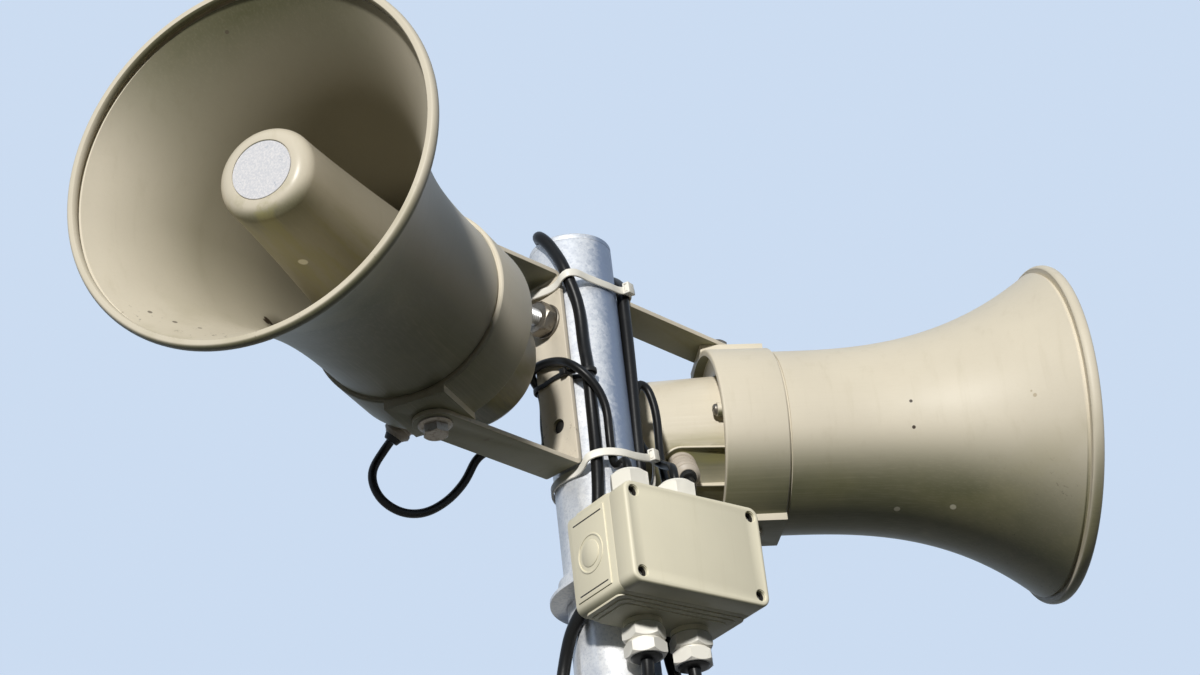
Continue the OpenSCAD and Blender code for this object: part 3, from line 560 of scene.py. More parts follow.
def bevelled(bm, edges, offset, segments):
    bmesh.ops.bevel(bm, geom=edges, offset=offset, segments=segments, profile=0.5,
                    affect="EDGES", clamp_overlap=True, material=-1)
    return bm


def round_edges(bm, offset, segments=2, pick=None, least=40):
    """Rounds the sharp edges, or those whose middle the pick function accepts."""
    return bevelled(bm, [
        edge for edge in bm.edges
        if len(edge.link_faces) == 2 and edge.calc_face_angle(0) > math.radians(least)
        and (pick is None or pick((edge.verts[0].co + edge.verts[1].co) / 2))], offset, segments)


def lathe(outline, steps=96, closed=False):
    """Turns an outline of (radius, distance) in millimetres round the X axis."""
    bm = bmesh.new()
    verts = [bm.verts.new((along, 0, radius)) for radius, along in outline]
    edges = [bm.edges.new(pair) for pair in zip(verts, verts[1:])]
    if closed:
        edges.append(bm.edges.new((verts[-1], verts[0])))
    bmesh.ops.spin(bm, geom=verts + edges, cent=(0, 0, 0), axis=(1, 0, 0), angle=math.tau,
                   steps=steps, use_merge=True)
    bmesh.ops.remove_doubles(bm, verts=bm.verts, dist=0.001)
    bmesh.ops.recalc_face_normals(bm, faces=bm.faces)
    return bm


def post(outline, steps=96, closed=False):
    """A turned shape stood up, its distances along +Z."""
    return moved(lathe(outline, steps, closed), spin("Y", -QUARTER))


def ray(degrees, radius=1.0):
    """A point on a circle."""
    angle = math.radians(degrees)
    return radius * math.cos(angle), radius * math.sin(angle)


def arc(x, y, radius, start, end, steps=6):
    """Points on an arc, in degrees."""
    turns = [ray(start + (end - start) * i / steps, radius) for i in range(steps + 1)]
    return [(x + right, y + up) for right, up in turns]


def cuboid(wide, deep, high):
    bm = bmesh.new()
    bmesh.ops.create_cube(bm, size=1)
    bmesh.ops.scale(bm, vec=(wide, deep, high), verts=bm.verts)
    return bm


def block(wide, deep, high, at=(0, 0, 0), edge=0.4):
    """A box with rounded edges."""
    bm = cuboid(wide, deep, high)
    return moved(bevelled(bm, bm.edges[:], edge, 3), shift(*at))


def slab(wide, high, deep, corner, front):
    """An upright plate with rounded corners, its middle at y = front."""
    bm = cuboid(wide, deep, high)
    posts = [edge for edge in bm.edges if abs(edge.verts[0].co.y - edge.verts[1].co.y) > deep / 2]
    return moved(bevelled(bm, posts, corner, 8), shift(0, front))


def prism(sides, across, high):
    """An upright prism measured across its flats."""
    bm = bmesh.new()
    radius = across / 2 / math.cos(math.pi / sides)
    bmesh.ops.create_cone(bm, cap_ends=True, segments=sides, radius1=radius, radius2=radius,
                          depth=high, matrix=shift(z=high / 2))
    return bm


def joined(*shapes):
    """Several shapes as one."""
    whole = bmesh.new()
    for shape in shapes:
        mesh = bpy.data.meshes.new("part")
        shape.to_mesh(mesh)
        shape.free()
        whole.from_mesh(mesh)
        bpy.data.meshes.remove(mesh)
    return whole


def moved(bm, matrix):
    bmesh.ops.transform(bm, matrix=matrix, verts=bm.verts)
    return bm


def carved(bm, cutter, operation="DIFFERENCE"):
    """One shape cut by another, with the Boolean modifier."""
    shapes = []
    for shape in (bm, cutter):
        mesh = bpy.data.meshes.new("carved")
        shape.to_mesh(mesh)
        shape.free()
        shapes.append(linked("carved", mesh))
    cut = shapes[0].modifiers.new("cut", "BOOLEAN")
    cut.operation = operation
    cut.solver = "EXACT"
    cut.object = shapes[1]
    seen = shapes[0].evaluated_get(bpy.context.evaluated_depsgraph_get())
    result = bmesh.new()
    result.from_mesh(seen.to_mesh())
    seen.to_mesh_clear()
    for shape in shapes:
        mesh = shape.data
        bpy.data.objects.remove(shape)
        bpy.data.meshes.remove(mesh)
    return result


def hexagon_nut(across, high, bore=0.0, both=False):
    """A hexagon standing on the plane, chamfered on top or on both ends, with a bore if one is
    given."""
    corner = across / 2 / math.cos(math.pi / 6)
    cut = across * 0.08
    barrel = [(0, -1), (corner + 1, -1), (corner + 1, high - cut - 0.6),
              (across / 2 - 0.2, high), (0, high)]
    if both:
        barrel[:2] = [(0, 0), (across / 2 - 0.2, 0), (corner + 1, cut + 0.6)]
    bm = carved(prism(6, across, high), post(barrel, 48), "INTERSECT")
    if bore:
        bm = carved(bm, moved(prism(32, bore, high + 2), shift(z=-1)))
    return round_edges(bm, 0.12, 1, least=25)


def threaded(thick, pitch, turns):
    """A length of screw thread along +Z."""
    root, crest = thick / 2 - pitch * 0.55, thick / 2
    steps = 24
    bm = bmesh.new()
    outline = [(root, 0.0), (crest, pitch * 0.44), (crest, pitch * 0.56), (root, pitch)]
    verts = [bm.verts.new((radius, 0, z)) for radius, z in outline]
    edges = [bm.edges.new(pair) for pair in zip(verts, verts[1:])]
    bmesh.ops.spin(bm, geom=verts + edges, cent=(0, 0, 0), axis=(0, 0, 1),
                   dvec=(0, 0, pitch / steps), angle=math.tau * turns, steps=steps * turns)
    bmesh.ops.remove_doubles(bm, verts=bm.verts, dist=0.01)
    bmesh.ops.holes_fill(bm, edges=[edge for edge in bm.edges if edge.is_boundary])
    bmesh.ops.recalc_face_normals(bm, faces=bm.faces)
    return bm


def screw_head(radius, high):
    """A pan head with a cross recess, standing on the plane."""
    dome = post([(0, -2), (radius, -2), (radius, high * 0.35)]
                + arc(radius - high * 0.65, high * 0.35, high * 0.65, 0, 80, 5)
                + [(0, high)], 40)
    for angle in (0, QUARTER):
        slot = block(radius * 1.25, radius * 0.28, 2.4, (0, 0, high), 0.05)
        dome = carved(dome, moved(slot, spin("Z", angle)))
    return dome


# ---- cords ----

def smooth_route(points, gap=2.5, closed=False):
    """A smooth line through points that stand unevenly far apart."""
    points = [Vector(point) for point in points]
    count = len(points)
    spans = [(points[(i + 1) % count] - points[i]).length for i in range(count)]

    def heading(i):
        if not closed and i in (0, count - 1):
            return (points[1] - points[0] if i == 0 else points[-1] - points[-2]).normalized()
        before, after = spans[i - 1], spans[i]
        back = (points[i] - points[i - 1]) / before
        ahead = (points[(i + 1) % count] - points[i]) / after
        return (back * after + ahead * before) / (before + after)

    route = []
    for i in range(count if closed else count - 1):
        a, b, span = points[i], points[(i + 1) % count], spans[i]
        go, come = heading(i) * span, heading((i + 1) % count) * span
        steps = max(2, round(span / gap))
        for k in range(steps):
            t = k / steps
            route.append(a * (2 * t ** 3 - 3 * t * t + 1) + go * (t ** 3 - 2 * t * t + t)
                         + b * (3 * t * t - 2 * t ** 3) + come * (t ** 3 - t * t))
    return route if closed else route + [points[-1]]


def eased(route, passes=6, gap=2.0, held=3):
    """The route at even stations, with its kinks eased and its straight ends held."""
    line, left = [route[0]], gap
    for a, b in zip(route, route[1:]):
        span = (b - a).length
        while span > left:
            a = a.lerp(b, left / span)
            line.append(a)
            span, left = (b - a).length, gap
        left -= span
    line.append(route[-1])
    for _ in range(passes):
        free = [line[i].lerp((line[i - 1] + line[i + 1]) / 2, 0.5)
                for i in range(held, len(line) - held)]
        line = line[:held] + free + line[-held:]
    return line


def sweep(route, ring, closed=False, level=False):
    """Extrudes a ring of (side, up) points from one station of a route to the next."""
    count = len(route)
    side = Vector((0.3, 0.9, 0.1))
    stations = []
    for i, point in enumerate(route):
        last = route[i - 1] if closed or i else point
        after = route[(i + 1) % count] if closed or i + 1 < count else point
        ahead = (after - last).normalized()
        if level:
            side = Vector((ahead.y, -ahead.x, 0))
        side = (side - ahead * side.dot(ahead)).normalized()
        station = Matrix((side, side.cross(ahead) * -1, ahead)).transposed().to_4x4()
        station.translation = point
        stations.append(station)
    bm = bmesh.new()
    verts = [bm.verts.new(stations[0] @ Vector((x, y, 0))) for x, y in ring]
    edges = [bm.edges.new((verts[i - 1], verts[i])) for i in range(len(verts))]
    first = edges[:]
    for here, there in zip(stations, stations[1:]):
        grown = bmesh.ops.extrude_edge_only(bm, edges=edges)["geom"]
        verts = {part for part in grown if isinstance(part, bmesh.types.BMVert)}
        edges = [part for part in grown if isinstance(part, bmesh.types.BMEdge)
                 and part.verts[0] in verts and part.verts[1] in verts]
        bmesh.ops.transform(bm, matrix=there @ here.inverted(), verts=list(verts))
    close = bmesh.ops.bridge_loops if closed else bmesh.ops.holes_fill
    close(bm, edges=edges + first)
    bmesh.ops.recalc_face_normals(bm, faces=bm.faces)
    return bm


def round_ring(thick, sides=16):
    return [ray(360 * i / sides, thick / 2) for i in range(sides)]


def band_ring(wide, thin):
    """The section of a cable tie: a flat band with rounded edges."""
    half, edge = wide / 2, thin * 0.35
    ring = []
    for x, y, start in ((1, 1, 0), (-1, 1, 90), (-1, -1, 180), (1, -1, 270)):
        ring += arc(x * (thin / 2 - edge), y * (half - edge), edge, start, start + 90, 3)
    return ring


def beside(listed, thick):
    """Places beside the mast, each an angle round it, a distance off its skin and a height."""
    skin = mm(settings().mast.tube_radius) + thick / 2 + 0.2
    return [(*ray(angle, skin + off), height) for angle, off, height in listed]


def from_axis(place, point):
    """A point of a piece, its height measured from the horns' centre line."""
    x, y, z = place @ Vector(point)
    return (x, y, z - axis_height())


def above_box(x, up=0.0):
    return from_axis(box_place(), (x, -TOP_ROW, TOP_END + up))


def below_box(x, down=0.0):
    return from_axis(box_place(), (x, -BOTTOM_ROW, BOTTOM_END - down))


def horn_exit(side, out=0.2):
    """Where a lead leaves its horn's gland."""
    return from_axis(pocket_place(side), (0, 0, GLAND_END + out))


# Thickness of the main cable and of the leads.
MAIN_D = 7.2
LEAD_D = 5.0
# Height of the main cable's middle line where it lies on the tube's cap.
CAP_Z = 93.8


def main_route():
    """From one bottom gland up the mast, over its capped end and down to the other gland."""
    first, last = BOTTOM_GLANDS
    return ([below_box(first), below_box(first, 10)]
            + beside([
                (236, 12, -218), (210, 13, -231), (180, 11, -230), (154, 8, -214), (143, 5, -191),
                (150, 1.5, -172), (168, 0.5, -159), (190, 0.5, -149), (211, 0.3, -139),
                (218, 0, -126), (218, 0, -98), (222, 0, -80), (226, 0, -19), (226, 1.6, -10),
                (226, 1.6, 0), (225, 0, 10), (222, 0.2, 44), (216, 2, 56), (211, 2.2, 66),
                (202, 0.4, 77), (195, 0.2, 84), (187, 0.3, 89)], MAIN_D)
            + [(-24.6, 2, 93.4), (-19, 5, CAP_Z), (-10, 8, CAP_Z), (2, 11, CAP_Z),
               (14, 12.5, CAP_Z), (22.6, 14, 93)]
            + beside([
                (27, 0.6, 87), (8, 0.7, 83), (-12, 0.7, 77), (-28, 0.6, 70), (-42, 0.1, 61),
                (-44, 0, 48), (-44, 0, -150), (-43, 3, -182), (-47, 9, -204), (-56, 17, -213)],
                MAIN_D)
            + [below_box(last, 10), below_box(last)])


def left_route():
    """From the left horn down into a hanging loop, behind the mast and round to the box."""
    return ([horn_exit("left"), horn_exit("left", 7)]
            + [(-115, 64, -64), (-111, 63, -77), (-101, 58, -85), (-88, 54, -84), (-75, 48, -76),
               (-64, 41, -62), (-59, 33, -48), (-52, 24, -45), (-40, 20, -48), (-30, 18, -48)]
            + beside([(146, 0.6, -41), (146, 0.1, -28), (146, 0.1, -3), (150, 5.9, 6),
                      (162, 5.3, 7), (178, 3.8, 6.5), (194, 4.2, 4)], LEAD_D)
            + [(-31, -17, -2), (-29, -22, -7), (-26, -25, -12), (-21, -27, -19)]
            + beside([(240, 5, -31), (241, 3.6, -42), (242, 2.6, -60), (243, 4.5, -68)], LEAD_D)
            + [above_box(TOP_GLANDS[0], 8), above_box(TOP_GLANDS[0])])


def right_route():
    """From the right horn up beside the mast, over a narrow loop and down to the box."""
    return ([horn_exit("right"), horn_exit("right", 7)]
            + [(61, -19, -62), (50, -23, -75), (39, -25, -78), (34, -24.5, -70), (34, -23, -60),
               (35.5, -20.5, -48), (36, -18.5, -3), (34.6, -17.4, 3), (31, -16.2, 5.6),
               (27.6, -15.5, 3), (26, -15.4, -3), (26, -15.4, -38), (27.5, -23, -50),
               (26, -30, -56), (19, -40, -63)]
            + [above_box(TOP_GLANDS[1], 8), above_box(TOP_GLANDS[1])])


def cord_piece(name, route, thick):
    """A cord's mesh, and its middle line in metres."""
    line = eased(smooth_route(route))
    piece = new_piece(name, sweep(line, round_ring(thick)), "sheath", axis_place(), sharp=60)
    lift = Vector((0, 0, axis_height()))
    return piece, [tuple((point + lift) / 1000) for point in line]


class HORNMAST_OT_cords(bpy.types.Operator):
    """Draws the main cable and the two horn leads"""
    bl_idname = "hornmast.cords"
    bl_label = "Cables and leads"

    def execute(self, context):
        piece, line = cord_piece("main_cable_sheath", main_route(), MAIN_D)
        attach(piece, "mast")
        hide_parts("main_cable")
        # Each lead: its side, its route, its length, and two station numbers along its line.
        for side, route, length, first, last in (("left", left_route(), 0.34, 4, 52),
                                                 ("right", right_route(), 0.24, 2, 18)):
            piece, line = cord_piece(f"{side}_lead_sheath", route, LEAD_D)
            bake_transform(piece)
            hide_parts(f"{side}_lead")
        return {"FINISHED"}


# ---- mast ----

def weld_bead(line, thick):
    """A weld's bead, with its edges softened."""
    bm = sweep([Vector(point) for point in line], round_ring(thick, 8))
    bmesh.ops.subdivide_edges(bm, edges=[edge for edge in bm.edges if edge.calc_length() > 1.5],
                              cuts=1, use_grid_fill=True)
    bmesh.ops.smooth_vert(bm, verts=bm.verts, factor=0.3, use_axis_x=True, use_axis_y=True,
                          use_axis_z=True)
    return bm


class HORNMAST_OT_mast(bpy.types.Operator):
    """Draws the mast tube, its cap, the base plate, the gussets and their welds"""
    bl_idname = "hornmast.mast"
    bl_label = "Mast and base"

    def execute(self, context):
        mast = settings().mast
        radius = mm(mast.tube_radius)
        plate = mm(mast.plate_thickness)
        top = mm(mast.axis_height + mast.tube_above)

        tube = round_edges(copy_of("mast_tube"), 0.35, 2)
        add("tube", tube, "zinc", ["mast_tube"])
        plug = radius - mm(mast.tube_wall) - 0.1
        cap = post([(0, -15), (plug - 1, -15), (plug, -14), (plug, 0), (radius - 0.3, 0),
                    (radius, 0.3)] + arc(radius - 1.5, 2.5, 1.5, 0, 90, 5)
                   + [(radius - 4, 4), (radius - 4.6, 3.6), (radius - 9, 3.6), (radius - 9.6, 4),
                      (0, 4)])
        add("cap", moved(cap, shift(z=top)), "zinc", ["tube_cap"])
        foot = round_edges(copy_of("base_plate"), 1.0, 3)
        add("foot_plate", foot, "zinc", ["base_plate"])
        ribs = round_edges(copy_of("base_gussets"), 0.7, 2)
        add("gussets", ribs, "zinc", ["base_gussets"])

        beads = []
        pitch, flank_off = 1.6, 3.4
        for quarter in range(4):
            for flank in (-flank_off, flank_off):
                low = [(radius + 2 + i * pitch, flank, plate + 0.4) for i in range(38)]
                high = [(radius + 0.5, flank, plate + 3 + i * pitch) for i in range(54)]
                beads += [moved(weld_bead(line, 3.4), spin("Z", quarter * QUARTER))
                          for line in (low, high)]
            ring = [(*ray(10 + i * 4 + quarter * 90, radius), plate + 0.6) for i in range(18)]
            beads.append(weld_bead(ring, 3.8))
        add("welds", joined(*beads), "weld", sharp=80)
        return {"FINISHED"}


# ---- yokes and bolts ----

# Height over the horns' centre line of the bolt through the mast; the free holes lie as far below.
BOLT_RISE = 34


class HORNMAST_OT_yokes(bpy.types.Operator):
    """Draws the two bent yokes, the bolt through the mast, its nuts and washers"""
    bl_idname = "hornmast.yokes"
    bl_label = "Yokes and through bolt"

    def execute(self, context):
        for side in SIDES:
            bent = round_edges(copy_of(f"{side}_yoke"), 0.45, 3)
            add(f"{side}_yoke_strip", bent, "yoke", [f"{side}_yoke"])
        # Near-black discs on the mast behind the yoke straps' free holes: painted shade.
        shade = lathe([(0, 24), (4.2, 24), (4.2, 24.9), (0, 24.9)], 40)
        shade = joined(shade, moved(shade.copy(), spin("Z", HALF)))
        add("free_hole_grime", moved(shade, shift(z=-BOLT_RISE)), "hollow",
            place=axis_place())

        place = axis_place() @ shift(z=BOLT_RISE) @ spin("Y", -QUARTER)
        skin = mm(settings().mast.tube_radius) + 3
        washer = [(5.1, 0), (10.2, 0), (10.5, 0.3), (10.5, 1.3), (10.2, 1.6), (5.1, 1.6)]
        nut = joined(post(washer, 64, closed=True),
                     moved(hexagon_nut(18, 8, bore=10.0, both=True), shift(z=1.6)))
        add("mast_nut", moved(nut, shift(z=skin)), "fixing", ["through_nut"], place)

        shank = skin + 1
        tip = shank + 24.4
        under_head = shift(z=-skin - 1.6)
        bolt = joined(
            moved(threaded(thick=10, pitch=1.5, turns=16), shift(z=shank)),
            post([(0, -skin - 2), (4.9, -skin - 2), (4.9, shank + 0.6), (0, shank + 0.6)], 48),
            post([(0, tip), (4.2, tip), (3.6, tip + 0.8), (0, tip + 0.8)], 32),
            moved(hexagon_nut(18, 6.5), under_head @ spin("X", HALF)),
            moved(post(washer, 64, closed=True), under_head))
        add("mast_bolt", bolt, "steel", ["through_bolt"], place)
        return {"FINISHED"}


# ---- junction box ----

class HORNMAST_OT_box(bpy.types.Operator):
    """Draws the junction box, its lid, the lid's screws and the bracket"""
    bl_idname = "hornmast.box"
    bl_label = "Junction box"

    def execute(self, context):
        box = settings().box
        place = box_place()
        wide, high, deep = mm(box.width), mm(box.height), mm(box.depth)
        half_w, half_h = wide / 2, high / 2
        # The middle of the side panels, and the lid's front face.
        middle, rim = 1 - deep / 2, -deep - mm(box.lid)

        shells = [round_edges(slab(wide, high, deep, 6, -deep / 2), 0.5, 2, least=60)]
        for end in (-1, 1):
            for i in (1, 2, 3):
                reach = deep - 3.5 * i - 1.5
                step = slab(wide - 7 * i, reach, 1 + 0.6 * i, 4.5, 0)
                at = shift(0, -1.5 - reach / 2, end * (half_h - 0.5 + 0.3 * i))
                shells.append(moved(round_edges(step, 0.25, 2, least=60),
                                    at @ spin("X", QUARTER)))
        for glands, row, flip, face in ((TOP_GLANDS, TOP_ROW, 0, TOP_SEAT),
                                        (BOTTOM_GLANDS, BOTTOM_ROW, HALF, BOTTOM_SEAT)):
            seat = [(0, 31), (10.7, 31), (10.7, face - 0.3), (10.4, face), (0, face)]
            shells += [moved(post(seat, 64), shift(x, -row) @ spin("X", flip)) for x in glands]
        for end, about in ((-1, HALF), (1, 0)):
            panel = joined(block(1.4, deep - 9, high - 12, edge=0.3),
                           lathe([(10.2, -1), (10.2, 1.0), (10.5, 1.15), (11, 1.15), (11.3, 1.0),
                                  (11.3, -1)], 64, closed=True),
                           lathe([(0, -1), (7.6, -1), (7.6, 1.0), (7.3, 1.2), (0, 1.2)], 64))
            shells.append(moved(panel, shift(end * half_w, middle) @ spin("Z", about)))
        add("box_body", joined(*shells), "box", ["junction_box"], place)
        # Near-black bars in the side panels' slots: painted shade.
        painted_shade = [block(0.5, deep - 13.4, 0.9, (end * (half_w + 0.5), middle, z), 0.1)
                 for end in (-1, 1) for z in (-half_h + 9, half_h - 9)]
        add("side_slot_grime", joined(*painted_shade), "hollow", place=place)

        def outer_front(at):
            """The lid's front edges, without those of the screw wells."""
            corner = Vector((half_w - SCREW_INSET, half_h - SCREW_INSET))
            off = Vector((abs(at.x), abs(at.z))) - corner
            return at.y < rim + 0.1 and off.length > 4.5

        lid = round_edges(copy_of("box_lid", place), 1.6, 4, outer_front)
        lid = round_edges(lid, 0.3, 2, lambda at: at.y > rim - 1, 45)
        add("lid", lid, "box", ["box_lid"], place)
        # A near-black band in the joint between lid and body: painted shade.
        seam = slab(wide - 0.8, high - 0.8, 1.0, 5.6, -deep)
        add("lid_seal", seam, "hollow", place=place)

        wells, pits, heads = [], [], []
        tube = [(3.38, 8.2), (3.38, 9.7), (3.1, 9.7), (3.1, 8.2)]
        # Below their top ring the screw wells are lined near-black: painted shade.
        pit = [(0, 0), (3.38, 0), (3.38, 8.2), (3.08, 8.2), (3.0, 0.4), (0, 0.4)]
        for x in (-1, 1):
            for z in (-1, 1):
                spot = shift(x * (half_w - SCREW_INSET), rim + 10.4, z * (half_h - SCREW_INSET))
                spot = spot @ spin("X", QUARTER)
                wells.append(moved(post(tube, 40, closed=True), spot))
                pits.append(moved(post(pit, 40), spot))
                heads.append(moved(screw_head(2.5, 1.5),
                                   spot @ shift(z=4.7) @ spin("Z", 0.4 + x + z)))
        add("lid_screw_wells", joined(*wells), "box", place=place)
        add("lid_screw_pits", joined(*pits), "hollow", place=place)
        add("lid_screw_heads", joined(*heads), "steel", ["lid_screws"], place)

        plate = round_edges(copy_of("box_bracket"), 0.25, 2)
        add("bracket", plate, "zinc", ["box_bracket"])
        screws = frame["nodes"]["bracket_screws"].data.materials
        screws.clear()
        screws.append(FINISH["fixing"])
        return {"FINISHED"}


class HORNMAST_OT_glands(bpy.types.Operator):
    """Draws the dome glands on top of the box and the two-part glands below it"""
    bl_idname = "hornmast.glands"
    bl_label = "Glands"

    def execute(self, context):
        place = box_place()
        upper = []
        for i, x in enumerate(TOP_GLANDS):
            foot = moved(hexagon_nut(22, 6, both=True), spin("Z", 0.2 + i))
            nut = moved(hexagon_nut(20.4, 14.6), shift(z=5.8) @ spin("Z", 0.45 + i))
            dome = post([(0, 19), (9.4, 19)] + arc(7.4, 20, 2.2, 0, 70, 5)
                        + [(4.2, 23), (2.9, 23), (2.7, 21), (0, 21)], 72)
            upper.append(moved(joined(foot, nut, dome), shift(x, -TOP_ROW, TOP_SEAT)))
        add("top_gland_domes", joined(*upper), "nylon", ["top_glands"], place)

        lower, seals = [], []
        for i, x in enumerate(BOTTOM_GLANDS):
            body = moved(hexagon_nut(21, 8.4, both=True), spin("Z", i * 0.35))
            neck = post([(0, 8), (9.7, 8), (9.7, 9.8), (0, 9.8)], 64)
            cap = moved(hexagon_nut(20.8, 8.2, both=True),
                        shift(z=9.4) @ spin("Z", 0.25 + i * 0.5))
            flip = shift(x, -BOTTOM_ROW, -BOTTOM_SEAT) @ spin("X", HALF)
            lower.append(moved(joined(body, neck, cap), flip))
            seal = post([(3.7, 17), (8.8, 17), (8.8, 17.9), (8.2, 18.5), (7, 19), (3.7, 19)],
                        48, closed=True)
            seals.append(moved(seal, flip))
        add("bottom_gland_nuts", joined(*lower), "nylon", ["bottom_glands"],
            place)
        add("bottom_gland_seals", joined(*seals), "black", ["gland_seals"], place)
        return {"FINISHED"}


# ---- cable ties ----

# Routes: the white ties as places beside the mast, the black one as plain places.
UPPER_TIE = [
    (155, 6, 54), (205, 6, 54), (210, 8.5, 55.6), (216.5, 9.9, 57), (221.5, 8.9, 57.4),
    (240, 2.4, 57), (262, 0.3, 56.2), (276, 0.3, 56.4), (296, 1.8, 57.4), (309.7, 6.6, 59),
    (315, 7.7, 59), (320, 7, 58), (335, 6, 54.6), (385, 6, 54), (420, 0.6, 54), (435, 0.3, 54),
    (450, 0.3, 54), (465, 0.3, 54), (480, 0.6, 54)]
LOWER_TIE = [
    (131, 0.4, -66), (149, 0.4, -66), (167, 0.4, -66), (185, 0.4, -66), (198, 0.8, -65.8),
    (208, 3.6, -64.5), (215, 7.2, -61.5), (224, 8, -60), (234, 8.4, -59.4), (248, 8.8, -59.6),
    (268, 7, -58.8), (286, 7, -56.5), (300, 8.6, -54), (316, 8.6, -57), (323, 8.6, -61),
    (330, 7.4, -65.8), (344, 4.4, -67), (365, 0.8, -67), (383, 0.4, -67), (401, 0.4, -67),
    (419, 0.4, -67), (437, 0.4, -67), (455, 0.4, -66.6), (473, 0.4, -66.3)]
BLACK_TIE = [
    (-18.8, 16.6, -4), (-19.9, 18.5, -4), (-22.4, 18.6, -4), (-25.1, 17.2, -4), (-28.2, 13.2, -5),
    (-28, 7, -5), (-28, 0, -4), (-28, -7, -4), (-28.2, -13.3, -5), (-25.2, -21.5, -6),
    (-23.5, -24.6, -6), (-20.4, -25.9, -6), (-17.5, -24.7, -6), (-16.2, -21.8, -6),
    (-17.5, -18, -6), (-20, -15.6, -6), (-22.4, -12.4, -6), (-23.2, -9.3, -6)]
TIE_WIDE = 4.8
TIE_THIN = 1.4


def tie_head(wide, thin, tail):
    """The ratchet block of a tie, with its slot and the cut end of the tail."""
    head = block(wide + 2, 4.4, wide + 2.4, edge=0.7)
    head = carved(head, block(wide + 4, thin + 0.5, wide + 0.2, edge=0.2))
    core = block(wide + 1.6, thin + 0.3, wide - 0.6, edge=0.15)
    end = block(tail + 2, thin, wide - 0.8, (wide / 2 + tail / 2, 0, 0), 0.25)
    return joined(head, core, end)


class HORNMAST_OT_ties(bpy.types.Operator):
    """Draws the two white cable ties and the black one"""
    bl_idname = "hornmast.ties"
    bl_label = "Cable ties"

    def execute(self, context):
        place = axis_place()
        ring = band_ring(TIE_WIDE, TIE_THIN)
        for name, listed, at, tilt, yaw in (("upper_tie", UPPER_TIE, (18.4, -26.2, 59.5), -4, 12),
                                            ("lower_tie", LOWER_TIE, (16.6, -31, -53), -8, 14)):
            route = smooth_route(beside(listed, TIE_THIN), gap=2.0, closed=True)
            strap = sweep(route, ring, closed=True, level=True)
            spot = shift(*at) @ spin("Z", math.radians(yaw)) @ spin("Y", math.radians(tilt))
            head = moved(tie_head(TIE_WIDE, TIE_THIN, 3), spot)
            add(f"{name}_strap", joined(strap, head), "nylon", [name], place)
        strap = sweep(smooth_route(BLACK_TIE, gap=1.5), band_ring(2.9, 1.0), level=True)
        head = block(3, 4.4, 4.4, (-29.5, -10.4, -4.2), 0.6)
        add("black_tie_strap", joined(strap, head), "black", ["black_tie"], place)
        return {"FINISHED"}


# ---- horns ----

# The bullet, along the horn's axis: where its straight side starts and ends, its radius at the
# front and how much wider it is at the rear.
BULLET_FRONT, BULLET_REAR = 178.5, 46
BULLET_RADIUS, BULLET_WIDENS = 26.5, 10.5
# The screws in the collar's recess: their turns round the axis, and the place of the first.
SCREW_TURNS = (90, 210, 330)
SCREW_BACK, SCREW_OFF = -15.5, 47
# Distance of the pivot bolts' seats from the axis.
PIVOT_SEAT = 63
# The driver can: its tapered length, and its front end along the pocket's place.
CAN_LENGTH, CAN_FRONT = 51, 29


def flare(along):
    """The bell's outer radius at a distance from the pivot, in millimetres."""
    horn = settings().horn
    if along <= mm(horn.flare_at):
        return mm(horn.bell_radius)
    share = (along - mm(horn.flare_at)) / mm(horn.mouth_at - horn.flare_at)
    return mm(horn.bell_radius) + mm(horn.mouth_radius - horn.bell_radius) * share ** 2.75


def flare_inside(along):
    slope = flare(along + 0.5) - flare(along - 0.5)
    return flare(along) - mm(settings().horn.bell_wall) * math.hypot(1, slope)


def bulge(radius, along, wide, long, turns):
    """Points on an ellipse in an outline, at turns in degrees."""
    return [(radius + wide * math.sin(math.radians(t)), along + long * math.cos(math.radians(t)))
            for t in turns]


def bell_outline():
    """The bell's wall with the bead round its mouth and the bowl behind the bullet, closed."""
    stops = [30 + i * 4 for i in range(41)]
    outside = [(10.1, -4), (55.6, -4), (56, -3.6), (56, 24.6), (55.1, 24.8), (55.1, 26.4),
               (56, 26.7)] + [(flare(a), a) for a in stops]
    outside += [(flare(192.8), 192.8), (flare(193.4) - 0.4, 193.4), (98.6, 193.8),
                (98.8, 195.4), (102.0, 195.7)]
    inner = [(100.4, 202.4), (99.8, 201.6), (99.5, 200.2), (99.5, 198.8), (99.7, 198.2),
             (101.3, 197.9), (101.2, 196.7), (flare_inside(196) - 0.1, 196.2)]
    inner += [(flare_inside(a), a) for a in reversed(stops)]
    return (outside + bulge(102.4, 199, 2.1, -3.5, range(10, 181, 10)) + inner
            + bulge(10.1, 21, 43.5, -22, range(86, -1, -5)))


def bullet_outside(along):
    share = max(0.0, (BULLET_FRONT - along) / (BULLET_FRONT - BULLET_REAR))
    return BULLET_RADIUS + BULLET_WIDENS * share ** 1.3


def bullet_outline():
    """The bullet's closed shell with the seat of its plate."""
    stops = [BULLET_FRONT - i * (BULLET_FRONT - BULLET_REAR) / 16 for i in range(17)]
    front = [(0, 186), (16.6, 186), (16.9, 186.3), (16.9, 186.8), (17.2, 187)]
    sides = [(bullet_outside(a), a) for a in stops[1:-1]]
    rear = [(37, 47.2), (36.6, 46.2), (35.8, 46), (35, 46.2), (34.6, 47)]
    inner = [(bullet_outside(a) - 2.4, a) for a in reversed(stops[:-1])]
    return (front + bulge(18, BULLET_FRONT, 8.5, 8.5, range(0, 91, 9)) + sides + rear + inner
            + [(18, 184.6), (9, 184.6), (0, 176.6)])


